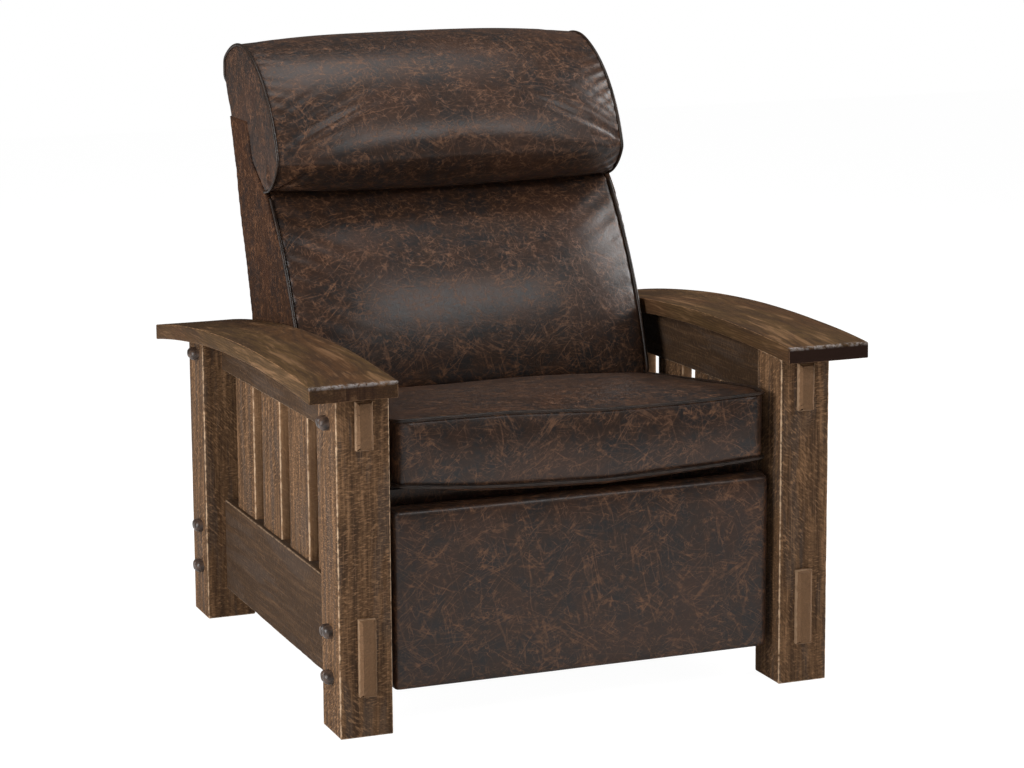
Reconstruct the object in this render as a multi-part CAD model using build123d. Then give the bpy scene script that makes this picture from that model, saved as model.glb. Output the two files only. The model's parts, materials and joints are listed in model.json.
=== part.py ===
from build123d import *
import os
from math import asin, atan2, cos, degrees, hypot, sin, sqrt

# Wall hugger recliner: a bow-arm timber frame with a sliding, reclining seat.
# Units are millimetres. +X is the viewer's right, the front faces -Y, +Z is up.
# The origin is on the floor, on the symmetry plane, at the middle of the overall depth.

os.makedirs("parts", exist_ok=True)

# Overall sizes
chair_width = 973.0
front_reach = 479.4

# Timber side frames
arm_length = 910.0
arm_width = 147.0
arm_thickness = 27.0
arm_bow_radius = 3850.0
arm_crown_height = 590.0
arm_crown_setback = 240.0
arm_edge_radius = 3.0
post_width = 88.9
post_edge_radius = 2.5
post_setback = 35.0
arm_outer_overhang = 54.0
arm_rear_overhang = 25.0
rail_thickness = 28.6
rail_inset = 36.2
bottom_rail_low = 54.0
bottom_rail_height = 166.0
rail_edge_radius = 2.0
tenon_thickness = 25.4
tenon_projection = 12.0
tenon_chamfer = 4.5
bottom_tenon_low = 68.0
bottom_tenon_height = 128.0
top_rail_front_drop = 118.0
top_rail_rear_drop = 129.0
top_tenon_lower_shoulder = 6.0
top_tenon_upper_shoulder = 8.0
slat_count = 4
slat_width = 106.0
slat_thickness = 19.0
slat_tenon = 12.0
slat_inset = 2.0
peg_radius = 13.0
peg_stand = 3.0
peg_dome = 5.0
peg_inner_cover = 14.0
bottom_peg_edge_distance = 26.0
top_peg_drop = 52.0
top_peg_rear_drop = 29.0

# Timber stretchers under the seat
stretcher_thickness = 38.0
stretcher_height = 74.0
rear_stretcher_height = 96.0
stretcher_tenon = 12.0
stretcher_tenon_shoulder = 9.0
front_tie_setback = 361.0

# Slide tracks on the bottom rails and shoes on the carriage
seat_travel = 150.0
track_wall = 3.0
track_depth = 24.0
track_height = 36.0
track_mid_height = 170.0
track_end_gap = 6.0
shoe_length = 60.0
shoe_clearance = 0.3
shoe_end_clearance = 4.2
front_shoe_setback = 330.0
screw_radius = 2.5
screw_length = 18.0
screw_head_radius = 4.5
screw_head_thickness = 2.4
track_screw_count = 4
track_screw_end_distance = 24.0

# Carriage plates and tubes
carriage_clearance = 3.5
plate_thickness = 4.0
plate_flange = 36.0
plate_corner_radius = 9.0
plate_low_margin = 15.0
seat_frame_low = 326.0
seat_frame_height = 56.0
seat_rail_width = 40.0
seat_front_rail_thickness = 32.0
seat_rear_rail_thickness = 32.0
seat_front_rail_setback = 108.0
seat_rear_rail_hinge_gap = 92.0
carriage_tube_side = 25.0
carriage_tube_wall = 2.5
front_tube_setback = 420.0
front_tube_height = 190.0
rear_tube_setback = 660.0
rear_tube_height = 200.0
lag_screw_count = 3
lag_screw_length = 34.0

# Seat springs
seat_spring_count = 5
spring_wire_radius = 1.9
spring_loop_width = 48.0
spring_loop_pitch = 22.0
spring_drop = 10.0
spring_clip_thickness = 8.0
spring_clip_height = 12.0
spring_clip_width = 30.0

# Footrest linkage: pivots are (Y, Z) places or steps at rest
drive_pivot_setback = 310.0
drive_pivot_height = 300.0
link_length = 215.0
control_pivot_forward = 41.4
control_pivot_drop = 44.9
front_link_tab_forward = 28.5
front_link_tab_drop = 20.2
rear_link_tab_back = 52.4
rear_link_tab_lift = 0.3
bracket_tab_back = 34.2
bracket_tab_lift = 6.7
link_thickness = 4.0
layer_gap = 2.5
link_half_width = 12.0
pivot_pin_radius = 5.0
pivot_clearance = 0.1
open_pivot_clearance = 1.0
pivot_head_radius = 8.5
pivot_head_thickness = 1.8
pivot_face_clearance = 0.3
pivot_collar_radius = 7.5
torque_tube_radius = 14.0
torque_tube_wall = 2.5

# Footrest panel
footrest_side_gap = 11.6
footrest_low = 62.0
footrest_height = 300.0
footrest_thickness = 40.0
footrest_face_setback = 51.0
footrest_board_thickness = 15.0
footrest_board_margin = 8.0
footrest_crown = 4.0
footrest_edge_radius = 11.0
footrest_top_radius = 22.0
footrest_pivot_behind_face = 74.0
footrest_pivot_height = 240.0
footrest_bracket_flange = 30.0
footrest_bracket_half_height = 38.0

# Seat cushion
seat_side_gap = 18.6
seat_cushion_setback = 51.0
seat_cushion_hinge_gap = 41.0
seat_front_thickness = 118.0
seat_rear_thickness = 36.0
seat_crown = 14.0
seat_side_draw = 6.0
seat_front_bulge = 5.0
seat_corner_radius = 26.0
seat_edge_radius = 9.0
soft_clearance = 0.3

# Back: outlines are shares of its reach behind the hinge and its height above it
back_hinge_setback = 650.0
back_hinge_height = 335.0
back_reach = 311.0
back_height = 703.0
back_side_gap = 15.6
back_cover_thickness = 6.0
back_rear_cover_thickness = 4.0
back_panel_thickness = 18.0
back_rail_thickness = 22.0
back_rail_height = 60.0
back_cushion_crown = 30.0
back_welt_bow = 20.0
back_bracket_thickness = 5.0
back_hinge_radius = 6.0
back_hinge_boss_radius = 22.0
back_hinge_nut_radius = 10.0
back_hinge_nut_thickness = 4.0
webbing_width = 50.0
webbing_thickness = 2.5
webbing_height_shares = (0.135, 0.225, 0.385, 0.465, 0.600)
headrest_side_gap = 11.6
headrest_crown = 12.0
headrest_end_draw = 14.0
back_rear_shares = [(0.412, 0.014), (0.579, 0.309), (0.723, 0.521), (0.785, 0.674), (0.871, 0.778)]
back_frame_front_shares = [(0.074, 0.014), (0.241, 0.309), (0.386, 0.521), (0.447, 0.674), (0.534, 0.778)]
back_front_shares = [(-0.379, 0.161), (-0.212, 0.343), (-0.016, 0.518), (0.190, 0.630)]
back_cover_low_rear_shares = (0.498, 0.161)
back_tip_shares = (0.238, 0.646)
headrest_lap_height_share = 0.711
headrest_rear_low_shares = (0.905, 0.829)
headrest_rear_mid_shares = (0.990, 0.905)
headrest_rear_high_shares = (0.985, 0.955)
headrest_top_mid_shares = (0.775, 0.997)
headrest_top_front_shares = (0.550, 0.9945)
headrest_front_mid_shares = (0.183, 0.895)
headrest_nose_shares = (-0.032, 0.730)
headrest_under_mid_shares = (0.055, 0.678)
back_bracket_shares = [(0.13, 0.02), (0.40, 0.02), (0.46, 0.15), (0.27, 0.15)]

# One overrun for all cuts
cut_overrun = 5.0


# Places worked out from the sizes above
def from_front(setback):
    """The Y of a place at a setback behind the arms' front ends."""
    return setback - front_reach


frame_depth = arm_length - post_setback - arm_rear_overhang
post_x = chair_width / 2 - arm_outer_overhang - post_width / 2
post_inner = post_x - post_width / 2
front_post_y = from_front(post_setback + post_width / 2)
rear_post_y = from_front(post_setback + frame_depth - post_width / 2)
frame_front = from_front(post_setback)
frame_rear = from_front(post_setback + frame_depth)
rail_front = front_post_y + post_width / 2
rail_rear = rear_post_y - post_width / 2
rail_x = post_x + post_width / 2 - rail_inset - rail_thickness / 2
rail_inner = rail_x - rail_thickness / 2
arm_x = chair_width / 2 - arm_width / 2
arm_crown_y = from_front(arm_crown_setback)
bottom_rail_top = bottom_rail_low + bottom_rail_height
plate_outer = post_inner - carriage_clearance
plate_inner = plate_outer - plate_thickness
plate_low = track_mid_height - plate_low_margin
seat_frame_top = seat_frame_low + seat_frame_height
seat_rail_outer = plate_inner
seat_front_rail_rear = from_front(seat_front_rail_setback + seat_front_rail_thickness)
seat_rear_rail_front = from_front(back_hinge_setback - seat_rear_rail_hinge_gap)
seat_half_width = post_inner - seat_side_gap
seat_cushion_depth = back_hinge_setback - seat_cushion_hinge_gap - seat_cushion_setback
footrest_half_width = post_inner - footrest_side_gap
back_half_width = post_inner - back_side_gap
headrest_half_width = post_inner - headrest_side_gap
drive_pivot = (from_front(drive_pivot_setback), drive_pivot_height)
footrest_face = from_front(footrest_face_setback)
footrest_back = footrest_face + footrest_thickness
panel_pivot = (footrest_face + footrest_pivot_behind_face, footrest_pivot_height)
back_hinge = (from_front(back_hinge_setback), back_hinge_height)
back_cover_inner = back_half_width - back_cover_thickness
back_panel_inner = back_cover_inner - back_panel_thickness


def step_from(place, step):
    """The place one (Y, Z) step away from another."""
    return (place[0] + step[0], place[1] + step[1])


def elbow_between(first, last, length):
    """The lower elbow of two equal links that join two pivots."""
    run = (last[0] - first[0], last[1] - first[1])
    span = hypot(*run)
    rise = sqrt(length**2 - (span / 2) ** 2)
    middle = ((first[0] + last[0]) / 2, (first[1] + last[1]) / 2)
    return (middle[0] - run[1] / span * rise, middle[1] + run[0] / span * rise)


elbow = elbow_between(drive_pivot, panel_pivot, link_length)
control_pivot = step_from(drive_pivot, (-control_pivot_forward, -control_pivot_drop))
front_link_tab = step_from(elbow, (-front_link_tab_forward, -front_link_tab_drop))
rear_link_tab = step_from(elbow, (rear_link_tab_back, rear_link_tab_lift))
bracket_tab = step_from(panel_pivot, (bracket_tab_back, bracket_tab_lift))


def back_place(shares):
    """A (Y, Z) place in the back from its shares of reach and height."""
    return (back_hinge[0] + shares[0] * back_reach, back_hinge[1] + shares[1] * back_height)


def back_places(table):
    """The places of a table of shares."""
    return [back_place(shares) for shares in table]


def shifted(places, step):
    """The places moved along Y."""
    return [(y + step, z) for y, z in places]


def back_frame_front_at(z):
    """The (Y, Z) place on the back frame's front line at a height."""
    places = back_places(back_frame_front_shares)
    for low, high in zip(places, places[1:]):
        if low[1] <= z <= high[1]:
            return (low[0] + (high[0] - low[0]) * (z - low[1]) / (high[1] - low[1]), z)
    raise ValueError("the height lies outside the back frame")


def frame_lean(z):
    """How far the back frame's front line leans at a height, in radians."""
    places = back_places(back_frame_front_shares)
    for low, high in zip(places, places[1:]):
        if low[1] <= z <= high[1]:
            return atan2(high[0] - low[0], high[1] - low[1])
    raise ValueError("the height lies outside the back frame")


headrest_lap = back_frame_front_at(back_hinge_height + headrest_lap_height_share * back_height)


# Shared shapes
def bar(x_low, x_high, y_low, y_high, z_low, z_high):
    """A plain block between two corners."""
    middle = Pos((x_low + x_high) / 2, (y_low + y_high) / 2, (z_low + z_high) / 2)
    return middle * Box(x_high - x_low, y_high - y_low, z_high - z_low)


def prism(edges, x_low, x_high):
    """A prism along X over a closed outline drawn in Y and Z."""
    face = make_face(Plane.YZ.offset(x_low) * edges)
    return extrude(face, amount=x_high - x_low, dir=(1, 0, 0))


def polygon_prism(points, x_low, x_high):
    """A prism along X over a polygon of (Y, Z) points."""
    return prism(Polyline(*points, close=True), x_low, x_high)


def rod(place, radius, x_low, x_high):
    """A round rod along X at a (Y, Z) place."""
    middle = Pos((x_low + x_high) / 2, place[0], place[1])
    return middle * Rot(0, 90, 0) * Cylinder(radius, x_high - x_low)


def link_bar(first, last, half_width, x_low, x_high):
    """A flat bar with round ends between two (Y, Z) places."""
    run = (last[0] - first[0], last[1] - first[1])
    middle = Pos((x_low + x_high) / 2, (first[0] + last[0]) / 2, (first[1] + last[1]) / 2)
    turn = Rot(degrees(atan2(run[1], run[0])), 0, 0)
    shape = middle * turn * Box(x_high - x_low, hypot(*run), half_width * 2)
    for place in (first, last):
        shape = shape + rod(place, half_width, x_low, x_high)
    return shape


def one(shape):
    """The single solid that a boolean operation leaves, unwrapped."""
    (solid,) = shape.solids()
    return solid


def save(name, *solids):
    """Write one node: a solid, or a group of separate solids."""
    pieces = [solid for shape in solids for solid in shape.solids()]
    node = pieces[0] if len(pieces) == 1 else Compound(children=pieces)
    node.label = name
    export_step(node, f"parts/{name}.step")


def save_pair(name, *solids):
    """Write a right-hand node and its mirror on the left."""
    save(f"right_{name}", *solids)
    save(f"left_{name}", *[mirror(shape, about=Plane.YZ) for shape in solids])


def both_sides(shapes):
    """The shapes and their mirrors across the symmetry plane."""
    return shapes + [mirror(shape, about=Plane.YZ) for shape in shapes]


# Timber side frame
def under_arm(drop=0):
    """All that lies below the bowed underside of the arms, less a drop."""
    centre = Pos(0, arm_crown_y, arm_crown_height - arm_bow_radius)
    return centre * Rot(0, 90, 0) * Cylinder(arm_bow_radius - arm_thickness - drop, chair_width)


def arm_underside(y):
    """The height of the arms' underside at a place along them."""
    radius = arm_bow_radius - arm_thickness
    return arm_crown_height - arm_bow_radius + sqrt(radius**2 - (y - arm_crown_y) ** 2)


def top_rail_low(y):
    """The height of the top rail's lower edge, which slopes down to the rear."""
    share = (y - rail_front) / (rail_rear - rail_front)
    drop = top_rail_front_drop + share * (top_rail_rear_drop - top_rail_front_drop)
    return arm_crown_height - drop


def arm_board():
    """One bowed arm board."""
    centre = Pos(arm_x, arm_crown_y, arm_crown_height - arm_bow_radius)
    outer = centre * Rot(0, 90, 0) * Cylinder(arm_bow_radius, arm_width)
    bow = outer - under_arm()
    middle_y = from_front(arm_length / 2)
    block = Pos(arm_x, middle_y, arm_crown_height) * Box(arm_width, arm_length, arm_crown_height / 2)
    board = one(bow & block)
    return fillet(board.edges(), arm_edge_radius)


def post_blank(y):
    """One square post, eased along its edges and cut to the arm's underside."""
    half = post_width / 2
    blank = bar(post_inner, post_inner + post_width, y - half, y + half, 0, arm_crown_height)
    return fillet(blank.edges().filter_by(Axis.Z), post_edge_radius) & under_arm()


def tenon_bar(z_low, z_high, drop=None):
    """A through tenon that runs from end to end of a rail and past both posts."""
    half = tenon_thickness / 2
    y_low = frame_front - tenon_projection
    y_high = frame_rear + tenon_projection
    if drop is None:
        shape = bar(rail_x - half, rail_x + half, y_low, y_high, z_low, z_high)
    else:
        lower = [(y_low, top_rail_low(y_low) + z_low), (y_high, top_rail_low(y_high) + z_low)]
        upper = [(y_high, arm_crown_height), (y_low, arm_crown_height)]
        shape = polygon_prism(lower + upper, rail_x - half, rail_x + half) & under_arm(drop)
    ends = shape.faces().sort_by(Axis.Y)
    return chamfer(ends[0].edges() + ends[-1].edges(), tenon_chamfer)


def bottom_rail_blank():
    """The bottom rail with its through tenons."""
    half = rail_thickness / 2
    board = bar(rail_x - half, rail_x + half, rail_front, rail_rear, bottom_rail_low, bottom_rail_top)
    board = fillet(board.edges().filter_by(Axis.Y), rail_edge_radius)
    return one(board + tenon_bar(bottom_tenon_low, bottom_tenon_low + bottom_tenon_height))


def top_rail_blank():
    """The top rail with its through tenons, bowed to the arm's underside."""
    half = rail_thickness / 2
    lower = [(rail_front, top_rail_low(rail_front)), (rail_rear, top_rail_low(rail_rear))]
    upper = [(rail_rear, arm_crown_height), (rail_front, arm_crown_height)]
    board = polygon_prism(lower + upper, rail_x - half, rail_x + half) & under_arm()
    return one(board + tenon_bar(top_tenon_lower_shoulder, 0, top_tenon_upper_shoulder))


def slats():
    """The upright slats, with stub tenons let into both rails."""
    gap = (rail_rear - rail_front - slat_count * slat_width) / (slat_count + 1)
    outer = rail_x + rail_thickness / 2 - slat_inset - slat_tenon / 2
    low = bottom_rail_top - slat_tenon
    shapes = []
    for index in range(slat_count):
        start = rail_front + gap + index * (slat_width + gap)
        high = top_rail_low(start + slat_width / 2) + slat_tenon
        shapes.append(bar(outer - slat_thickness, outer, start, start + slat_width, low, high))
    return shapes


def peg(y, z):
    """One domed peg driven in from the post's outer face through a tenon."""
    inner = post_inner + peg_inner_cover
    rim = post_inner + post_width + peg_stand
    ball_radius = (peg_radius**2 + peg_dome**2) / (2 * peg_dome)
    half_turn = asin(peg_radius / ball_radius) / 2
    ball_x = rim + peg_dome - ball_radius
    on_dome = (ball_x + ball_radius * cos(half_turn), ball_radius * sin(half_turn))
    edges = Polyline((rim + peg_dome, 0), (inner, 0), (inner, peg_radius), (rim, peg_radius))
    edges = edges + ThreePointArc((rim, peg_radius), on_dome, (rim + peg_dome, 0))
    return Pos(0, y, z) * revolve(make_face(edges), Axis.X)


def pegs():
    """The three pegs of each post."""
    low = bottom_tenon_low + bottom_peg_edge_distance - slat_inset
    high = bottom_tenon_low + bottom_tenon_height - bottom_peg_edge_distance - slat_inset
    shapes = []
    for y, drop in ((front_post_y, top_peg_drop), (rear_post_y, top_peg_rear_drop)):
        shapes += [peg(y, low), peg(y, high), peg(y, arm_underside(y) - drop)]
    return shapes


def stretcher(y_low, height):
    """A cross stretcher between the bottom rails, with stub tenons."""
    y_high = y_low + stretcher_thickness
    low = bottom_rail_low
    shape = bar(-rail_inner, rail_inner, y_low, y_high, low, low + height)
    shape = fillet(shape.edges().filter_by(Axis.X), rail_edge_radius)
    shoulder = stretcher_tenon_shoulder
    reach = rail_inner + stretcher_tenon
    tenon = bar(-reach, reach, y_low + shoulder, y_high - shoulder, low + shoulder, low + height - shoulder)
    return one(shape + tenon)


def side_frame(stretchers, screws):
    """All of one timber side, with the joints cut."""
    bottom_rail = bottom_rail_blank()
    top_rail = top_rail_blank()
    slat_set = slats()
    peg_set = pegs()
    for name, y in (("front_post", front_post_y), ("rear_post", rear_post_y)):
        post = post_blank(y) - bottom_rail - top_rail
        for pin in peg_set:
            post = post - pin
        save_pair(name, one(post))
    for pin in peg_set:
        bottom_rail = bottom_rail - pin
        top_rail = top_rail - pin
    for slat in slat_set:
        bottom_rail = bottom_rail - slat
        top_rail = top_rail - slat
    for fitting in stretchers + screws:
        bottom_rail = bottom_rail - fitting
    save_pair("arm_board", arm_board())
    save_pair("bottom_rail", one(bottom_rail))
    save_pair("top_rail", one(top_rail))
    save_pair("side_slats", *slat_set)
    save_pair("tenon_pegs", *peg_set)


# Slide tracks
def track_screw_places():
    """The Y of each track screw."""
    low = rail_front + track_end_gap + track_screw_end_distance
    high = rail_rear - track_end_gap - track_screw_end_distance
    return [low + (high - low) * index / (track_screw_count - 1) for index in range(track_screw_count)]


def track_screw(y):
    """One round-headed screw through the track's web into the rail."""
    place = (y, track_mid_height)
    face = rail_inner - track_wall
    head = rod(place, screw_head_radius, face - screw_head_thickness, face)
    return one(head + rod(place, screw_radius, face, face + screw_length))


def slide_track(screws):
    """One channel track, open towards the seat."""
    inner = rail_inner - track_depth
    low = track_mid_height - track_height / 2
    y_low = rail_front + track_end_gap
    y_high = rail_rear - track_end_gap
    shape = bar(inner, rail_inner, y_low, y_high, low, low + track_height)
    hollow = bar(
        inner - cut_overrun,
        rail_inner - track_wall,
        y_low - cut_overrun,
        y_high + cut_overrun,
        low + track_wall,
        low + track_height - track_wall,
    )
    shape = shape - hollow
    for screw in screws:
        shape = shape - screw
    return one(shape)


def glide_shoe(setback):
    """One nylon shoe that runs in the track."""
    half = track_height / 2 - track_wall - shoe_clearance
    outer = rail_inner - track_wall - shoe_end_clearance
    y = from_front(setback)
    low = track_mid_height - half
    shape = bar(plate_outer, outer, y - shoe_length / 2, y + shoe_length / 2, low, low + half * 2)
    return fillet(shape.edges().filter_by(Axis.X), half / 4)


# Carriage
def layer(index):
    """The inner and outer X of a layer of links, counted inwards from the plate."""
    outer = plate_inner - layer_gap * index - link_thickness * (index - 1)
    return outer - link_thickness, outer


def carriage_plate():
    """One steel side plate with a turned-in flange under the seat frame."""
    nose_y = drive_pivot[0] - seat_travel
    ear = back_hinge_boss_radius + plate_corner_radius / 2
    ear_top = back_hinge[1] + ear
    outline = [
        (nose_y, seat_frame_low),
        (nose_y, drive_pivot[1]),
        (control_pivot[0] - link_half_width, control_pivot[1] - link_half_width * 2),
        (from_front(front_shoe_setback) - shoe_length / 2, plate_low),
        (back_hinge[0] + shoe_length / 2, plate_low),
        (back_hinge[0] + ear, back_hinge[1] - ear),
        (back_hinge[0] + ear, ear_top),
        (back_hinge[0] - ear, ear_top),
        (back_hinge[0] - ear, seat_frame_low),
    ]
    plate = polygon_prism(outline, plate_inner, plate_outer)
    plate = fillet(plate.edges().filter_by(Axis.X), plate_corner_radius)
    flange = bar(
        plate_inner - plate_flange,
        plate_inner,
        nose_y + plate_corner_radius,
        back_hinge[0] - ear - plate_corner_radius,
        seat_frame_low - plate_thickness,
        seat_frame_low,
    )
    return plate + flange


def cross_tube(setback, z):
    """A square tube welded between the plates."""
    y = from_front(setback)
    half = carriage_tube_side / 2
    bore = half - carriage_tube_wall
    tube = bar(-plate_inner, plate_inner, y - half, y + half, z - half, z + half)
    return tube - bar(-plate_inner, plate_inner, y - bore, y + bore, z - bore, z + bore)


def pivot_bolt(place, inner_layer):
    """A shoulder bolt from the plate's outer face through one layer of links."""
    low, high = layer(inner_layer)
    collar_end = high + pivot_face_clearance
    shape = rod(place, pivot_head_radius, plate_outer, plate_outer + pivot_head_thickness)
    shape = shape + rod(place, pivot_pin_radius, low - pivot_face_clearance, plate_outer)
    shape = shape + rod(place, pivot_collar_radius, collar_end, plate_inner)
    nut_low = low - pivot_face_clearance - pivot_head_thickness
    return one(shape + rod(place, pivot_head_radius, nut_low, low - pivot_face_clearance))


def hinge_bolt():
    """The bolt that carries one side of the back."""
    bracket_outer = back_cover_inner + back_bracket_thickness
    nut_high = back_cover_inner - pivot_face_clearance
    shape = rod(back_hinge, back_hinge_nut_radius, plate_outer, plate_outer + pivot_head_thickness)
    shape = shape + rod(back_hinge, back_hinge_radius, nut_high, plate_outer)
    shape = shape + rod(back_hinge, back_hinge_nut_radius, bracket_outer + pivot_face_clearance, plate_inner)
    nut_low = nut_high - back_hinge_nut_thickness
    return one(shape + rod(back_hinge, back_hinge_nut_radius, nut_low, nut_high))


def lag_screws():
    """The screws that hold the seat frame down on one plate's flange."""
    face = seat_frame_low - plate_thickness
    x = plate_inner - plate_flange / 2
    low = seat_front_rail_rear + plate_flange
    high = seat_rear_rail_front - plate_flange
    shapes = []
    for index in range(lag_screw_count):
        y = low + (high - low) * index / (lag_screw_count - 1)
        head = Pos(x, y, face - screw_head_thickness / 2) * Cylinder(screw_head_radius, screw_head_thickness)
        shank = Pos(x, y, face + lag_screw_length / 2) * Cylinder(screw_radius, lag_screw_length)
        shapes.append(one(head + shank))
    return shapes


def seat_rails(screws):
    """The four timber rails of the seat frame: front, rear and one side."""
    front = bar(
        -seat_rail_outer,
        seat_rail_outer,
        seat_front_rail_rear - seat_front_rail_thickness,
        seat_front_rail_rear,
        seat_frame_low,
        seat_frame_top,
    )
    rear = bar(
        -seat_rail_outer,
        seat_rail_outer,
        seat_rear_rail_front,
        seat_rear_rail_front + seat_rear_rail_thickness,
        seat_frame_low,
        seat_frame_top,
    )
    side = bar(
        seat_rail_outer - seat_rail_width,
        seat_rail_outer,
        seat_front_rail_rear,
        seat_rear_rail_front,
        seat_frame_low,
        seat_frame_top,
    )
    for screw in screws:
        side = side - screw
    return front, rear, one(side)


def spring_places():
    """The X of each seat spring."""
    inner = seat_rail_outer - seat_rail_width
    pitch = inner * 2 / seat_spring_count
    return [-inner + pitch * (index + 1 / 2) for index in range(seat_spring_count)]


def seat_spring(x):
    """One zigzag spring of round wire, bent in a level plane."""
    start = seat_front_rail_rear + spring_clip_thickness + spring_wire_radius
    end = seat_rear_rail_front - spring_clip_thickness - spring_wire_radius
    runs = round((end - start) / spring_loop_pitch)
    pitch = (end - start) / runs
    half = spring_loop_width / 2 - pitch / 2
    z = seat_frame_top - spring_drop
    side = 1
    path = Line((x - half, start, z), (x + half, start, z))
    for index in range(runs):
        y = start + index * pitch
        bend = (x + side * (half + pitch / 2), y + pitch / 2, z)
        path = path + ThreePointArc((x + side * half, y, z), bend, (x + side * half, y + pitch, z))
        path = path + Line((x + side * half, y + pitch, z), (x - side * half, y + pitch, z))
        side = -side
    profile = Plane((x - half, start, z), x_dir=(0, 1, 0), z_dir=(1, 0, 0)) * Circle(spring_wire_radius)
    return sweep(profile, path=path)


def spring_clips():
    """The clips that hold the springs' ends on the front and rear rails."""
    z = seat_frame_top - spring_drop
    half = spring_clip_height / 2
    shapes = []
    for x in spring_places():
        for y_low in (seat_front_rail_rear, seat_rear_rail_front - spring_clip_thickness):
            x_low = x - spring_clip_width / 2
            y_high = y_low + spring_clip_thickness
            shapes.append(bar(x_low, x_low + spring_clip_width, y_low, y_high, z - half, z + half))
    return shapes


# Footrest linkage
def stud(place, side_in, side_out, outward):
    """A riveted stud that stands from one link through the next."""
    if outward:
        low, high = side_in, side_out + pivot_face_clearance
        head = (high, high + pivot_head_thickness)
        collar = (side_in, side_in + layer_gap - pivot_face_clearance)
    else:
        low, high = side_out - pivot_face_clearance, side_in
        head = (low - pivot_head_thickness, low)
        collar = (side_in - layer_gap + pivot_face_clearance, side_in)
    shape = rod(place, pivot_pin_radius, low, high)
    shape = shape + rod(place, pivot_head_radius, *head)
    return shape + rod(place, pivot_collar_radius, *collar)


def pin_hole(place, x_low, x_high, clearance):
    """The hole that a pivot pin runs in."""
    return rod(place, pivot_pin_radius + clearance, x_low - cut_overrun, x_high + cut_overrun)


def rear_link():
    """One rear link: drive pivot, elbow and a tab for the front control link."""
    low, high = layer(3)
    shape = link_bar(drive_pivot, elbow, link_half_width, low, high)
    shape = shape + link_bar(elbow, rear_link_tab, link_half_width, low, high)
    shape = shape - pin_hole(drive_pivot, low, high, pivot_clearance)
    shape = shape + stud(elbow, high, layer(2)[1], True)
    return one(shape + stud(rear_link_tab, low, layer(4)[0], False))


def front_link():
    """One front link: elbow, panel pivot and a tab for the rear control link."""
    low, high = layer(2)
    shape = link_bar(elbow, panel_pivot, link_half_width, low, high)
    shape = shape + link_bar(elbow, front_link_tab, link_half_width, low, high)
    shape = shape - pin_hole(elbow, low, high, pivot_clearance)
    shape = shape + stud(panel_pivot, low, layer(3)[0], False)
    return one(shape + stud(front_link_tab, high, layer(1)[1], True))


def rear_control_link():
    """One control link from the plate to the front link's tab."""
    low, high = layer(1)
    shape = link_bar(control_pivot, front_link_tab, link_half_width, low, high)
    shape = shape - pin_hole(control_pivot, low, high, pivot_clearance)
    return one(shape - pin_hole(front_link_tab, low, high, open_pivot_clearance))


def front_control_link():
    """One control link from the rear link's tab to the footrest bracket."""
    low, high = layer(4)
    shape = link_bar(rear_link_tab, bracket_tab, link_half_width, low, high)
    shape = shape - pin_hole(rear_link_tab, low, high, pivot_clearance)
    return one(shape - pin_hole(bracket_tab, low, high, open_pivot_clearance))


def footrest_bracket():
    """One angle bracket on the back of the footrest board."""
    low, high = layer(3)
    y, z = panel_pivot
    half = footrest_bracket_half_height
    outline = [
        (footrest_back, z - half),
        (footrest_back + plate_thickness, z - half),
        (y + link_half_width, z - link_half_width),
        (bracket_tab[0] + link_half_width, bracket_tab[1] - link_half_width),
        (bracket_tab[0] + link_half_width, bracket_tab[1] + link_half_width),
        (footrest_back + plate_thickness, z + half),
        (footrest_back, z + half),
    ]
    shape = polygon_prism(outline, low, high)
    shape = shape - pin_hole(panel_pivot, low, high, pivot_clearance)
    flange_high = footrest_back + plate_thickness
    shape = shape + bar(low - footrest_bracket_flange, low, footrest_back, flange_high, z - half, z + half)
    return one(shape + stud(bracket_tab, low, layer(4)[0], False))


def torque_tube():
    """The round tube that turns both rear links together."""
    end = layer(3)[0]
    tube = rod(drive_pivot, torque_tube_radius, -end, end)
    return tube - rod(drive_pivot, torque_tube_radius - torque_tube_wall, -end, end)


def crowned(x_half, face_y, thickness, z_low, z_high, crown):
    """A block whose front face swells forward by a crown, across and up."""
    half_height = (z_high - z_low) / 2
    z_mid = (z_low + z_high) / 2
    wide_radius = (x_half**2 + crown**2) / (2 * crown)
    tall_radius = (half_height**2 + crown**2) / (2 * crown)
    block = bar(-x_half, x_half, face_y, face_y + thickness, z_low, z_high)
    across = Pos(0, face_y + wide_radius, z_mid) * Cylinder(wide_radius, half_height * 4)
    upward = Pos(0, face_y + tall_radius, z_mid) * Rot(0, 90, 0) * Cylinder(tall_radius, x_half * 4)
    return one(block & across & upward)


def footrest_board():
    """The plywood board at the back of the footrest panel."""
    half = footrest_half_width - footrest_board_margin
    low = footrest_low + footrest_board_margin
    high = footrest_low + footrest_height - footrest_board_margin
    return bar(-half, half, footrest_back - footrest_board_thickness, footrest_back, low, high)


def footrest_pad(board):
    """The padded leather panel round the footrest board."""
    high = footrest_low + footrest_height
    shape = crowned(
        footrest_half_width, footrest_face, footrest_thickness, footrest_low, high, footrest_crown
    )
    front = shape.edges().filter_by(lambda edge: edge.center().Y < footrest_face + footrest_thickness / 2)
    front = front.sort_by(Axis.Z)
    shape = fillet(front[-1], footrest_top_radius)
    rest = shape.edges().filter_by(lambda edge: edge.center().Y < footrest_face + footrest_thickness / 2)
    low_edge = rest.sort_by(Axis.Z)[0]
    shape = fillet(low_edge, footrest_edge_radius)
    return one(shape - board)


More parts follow.
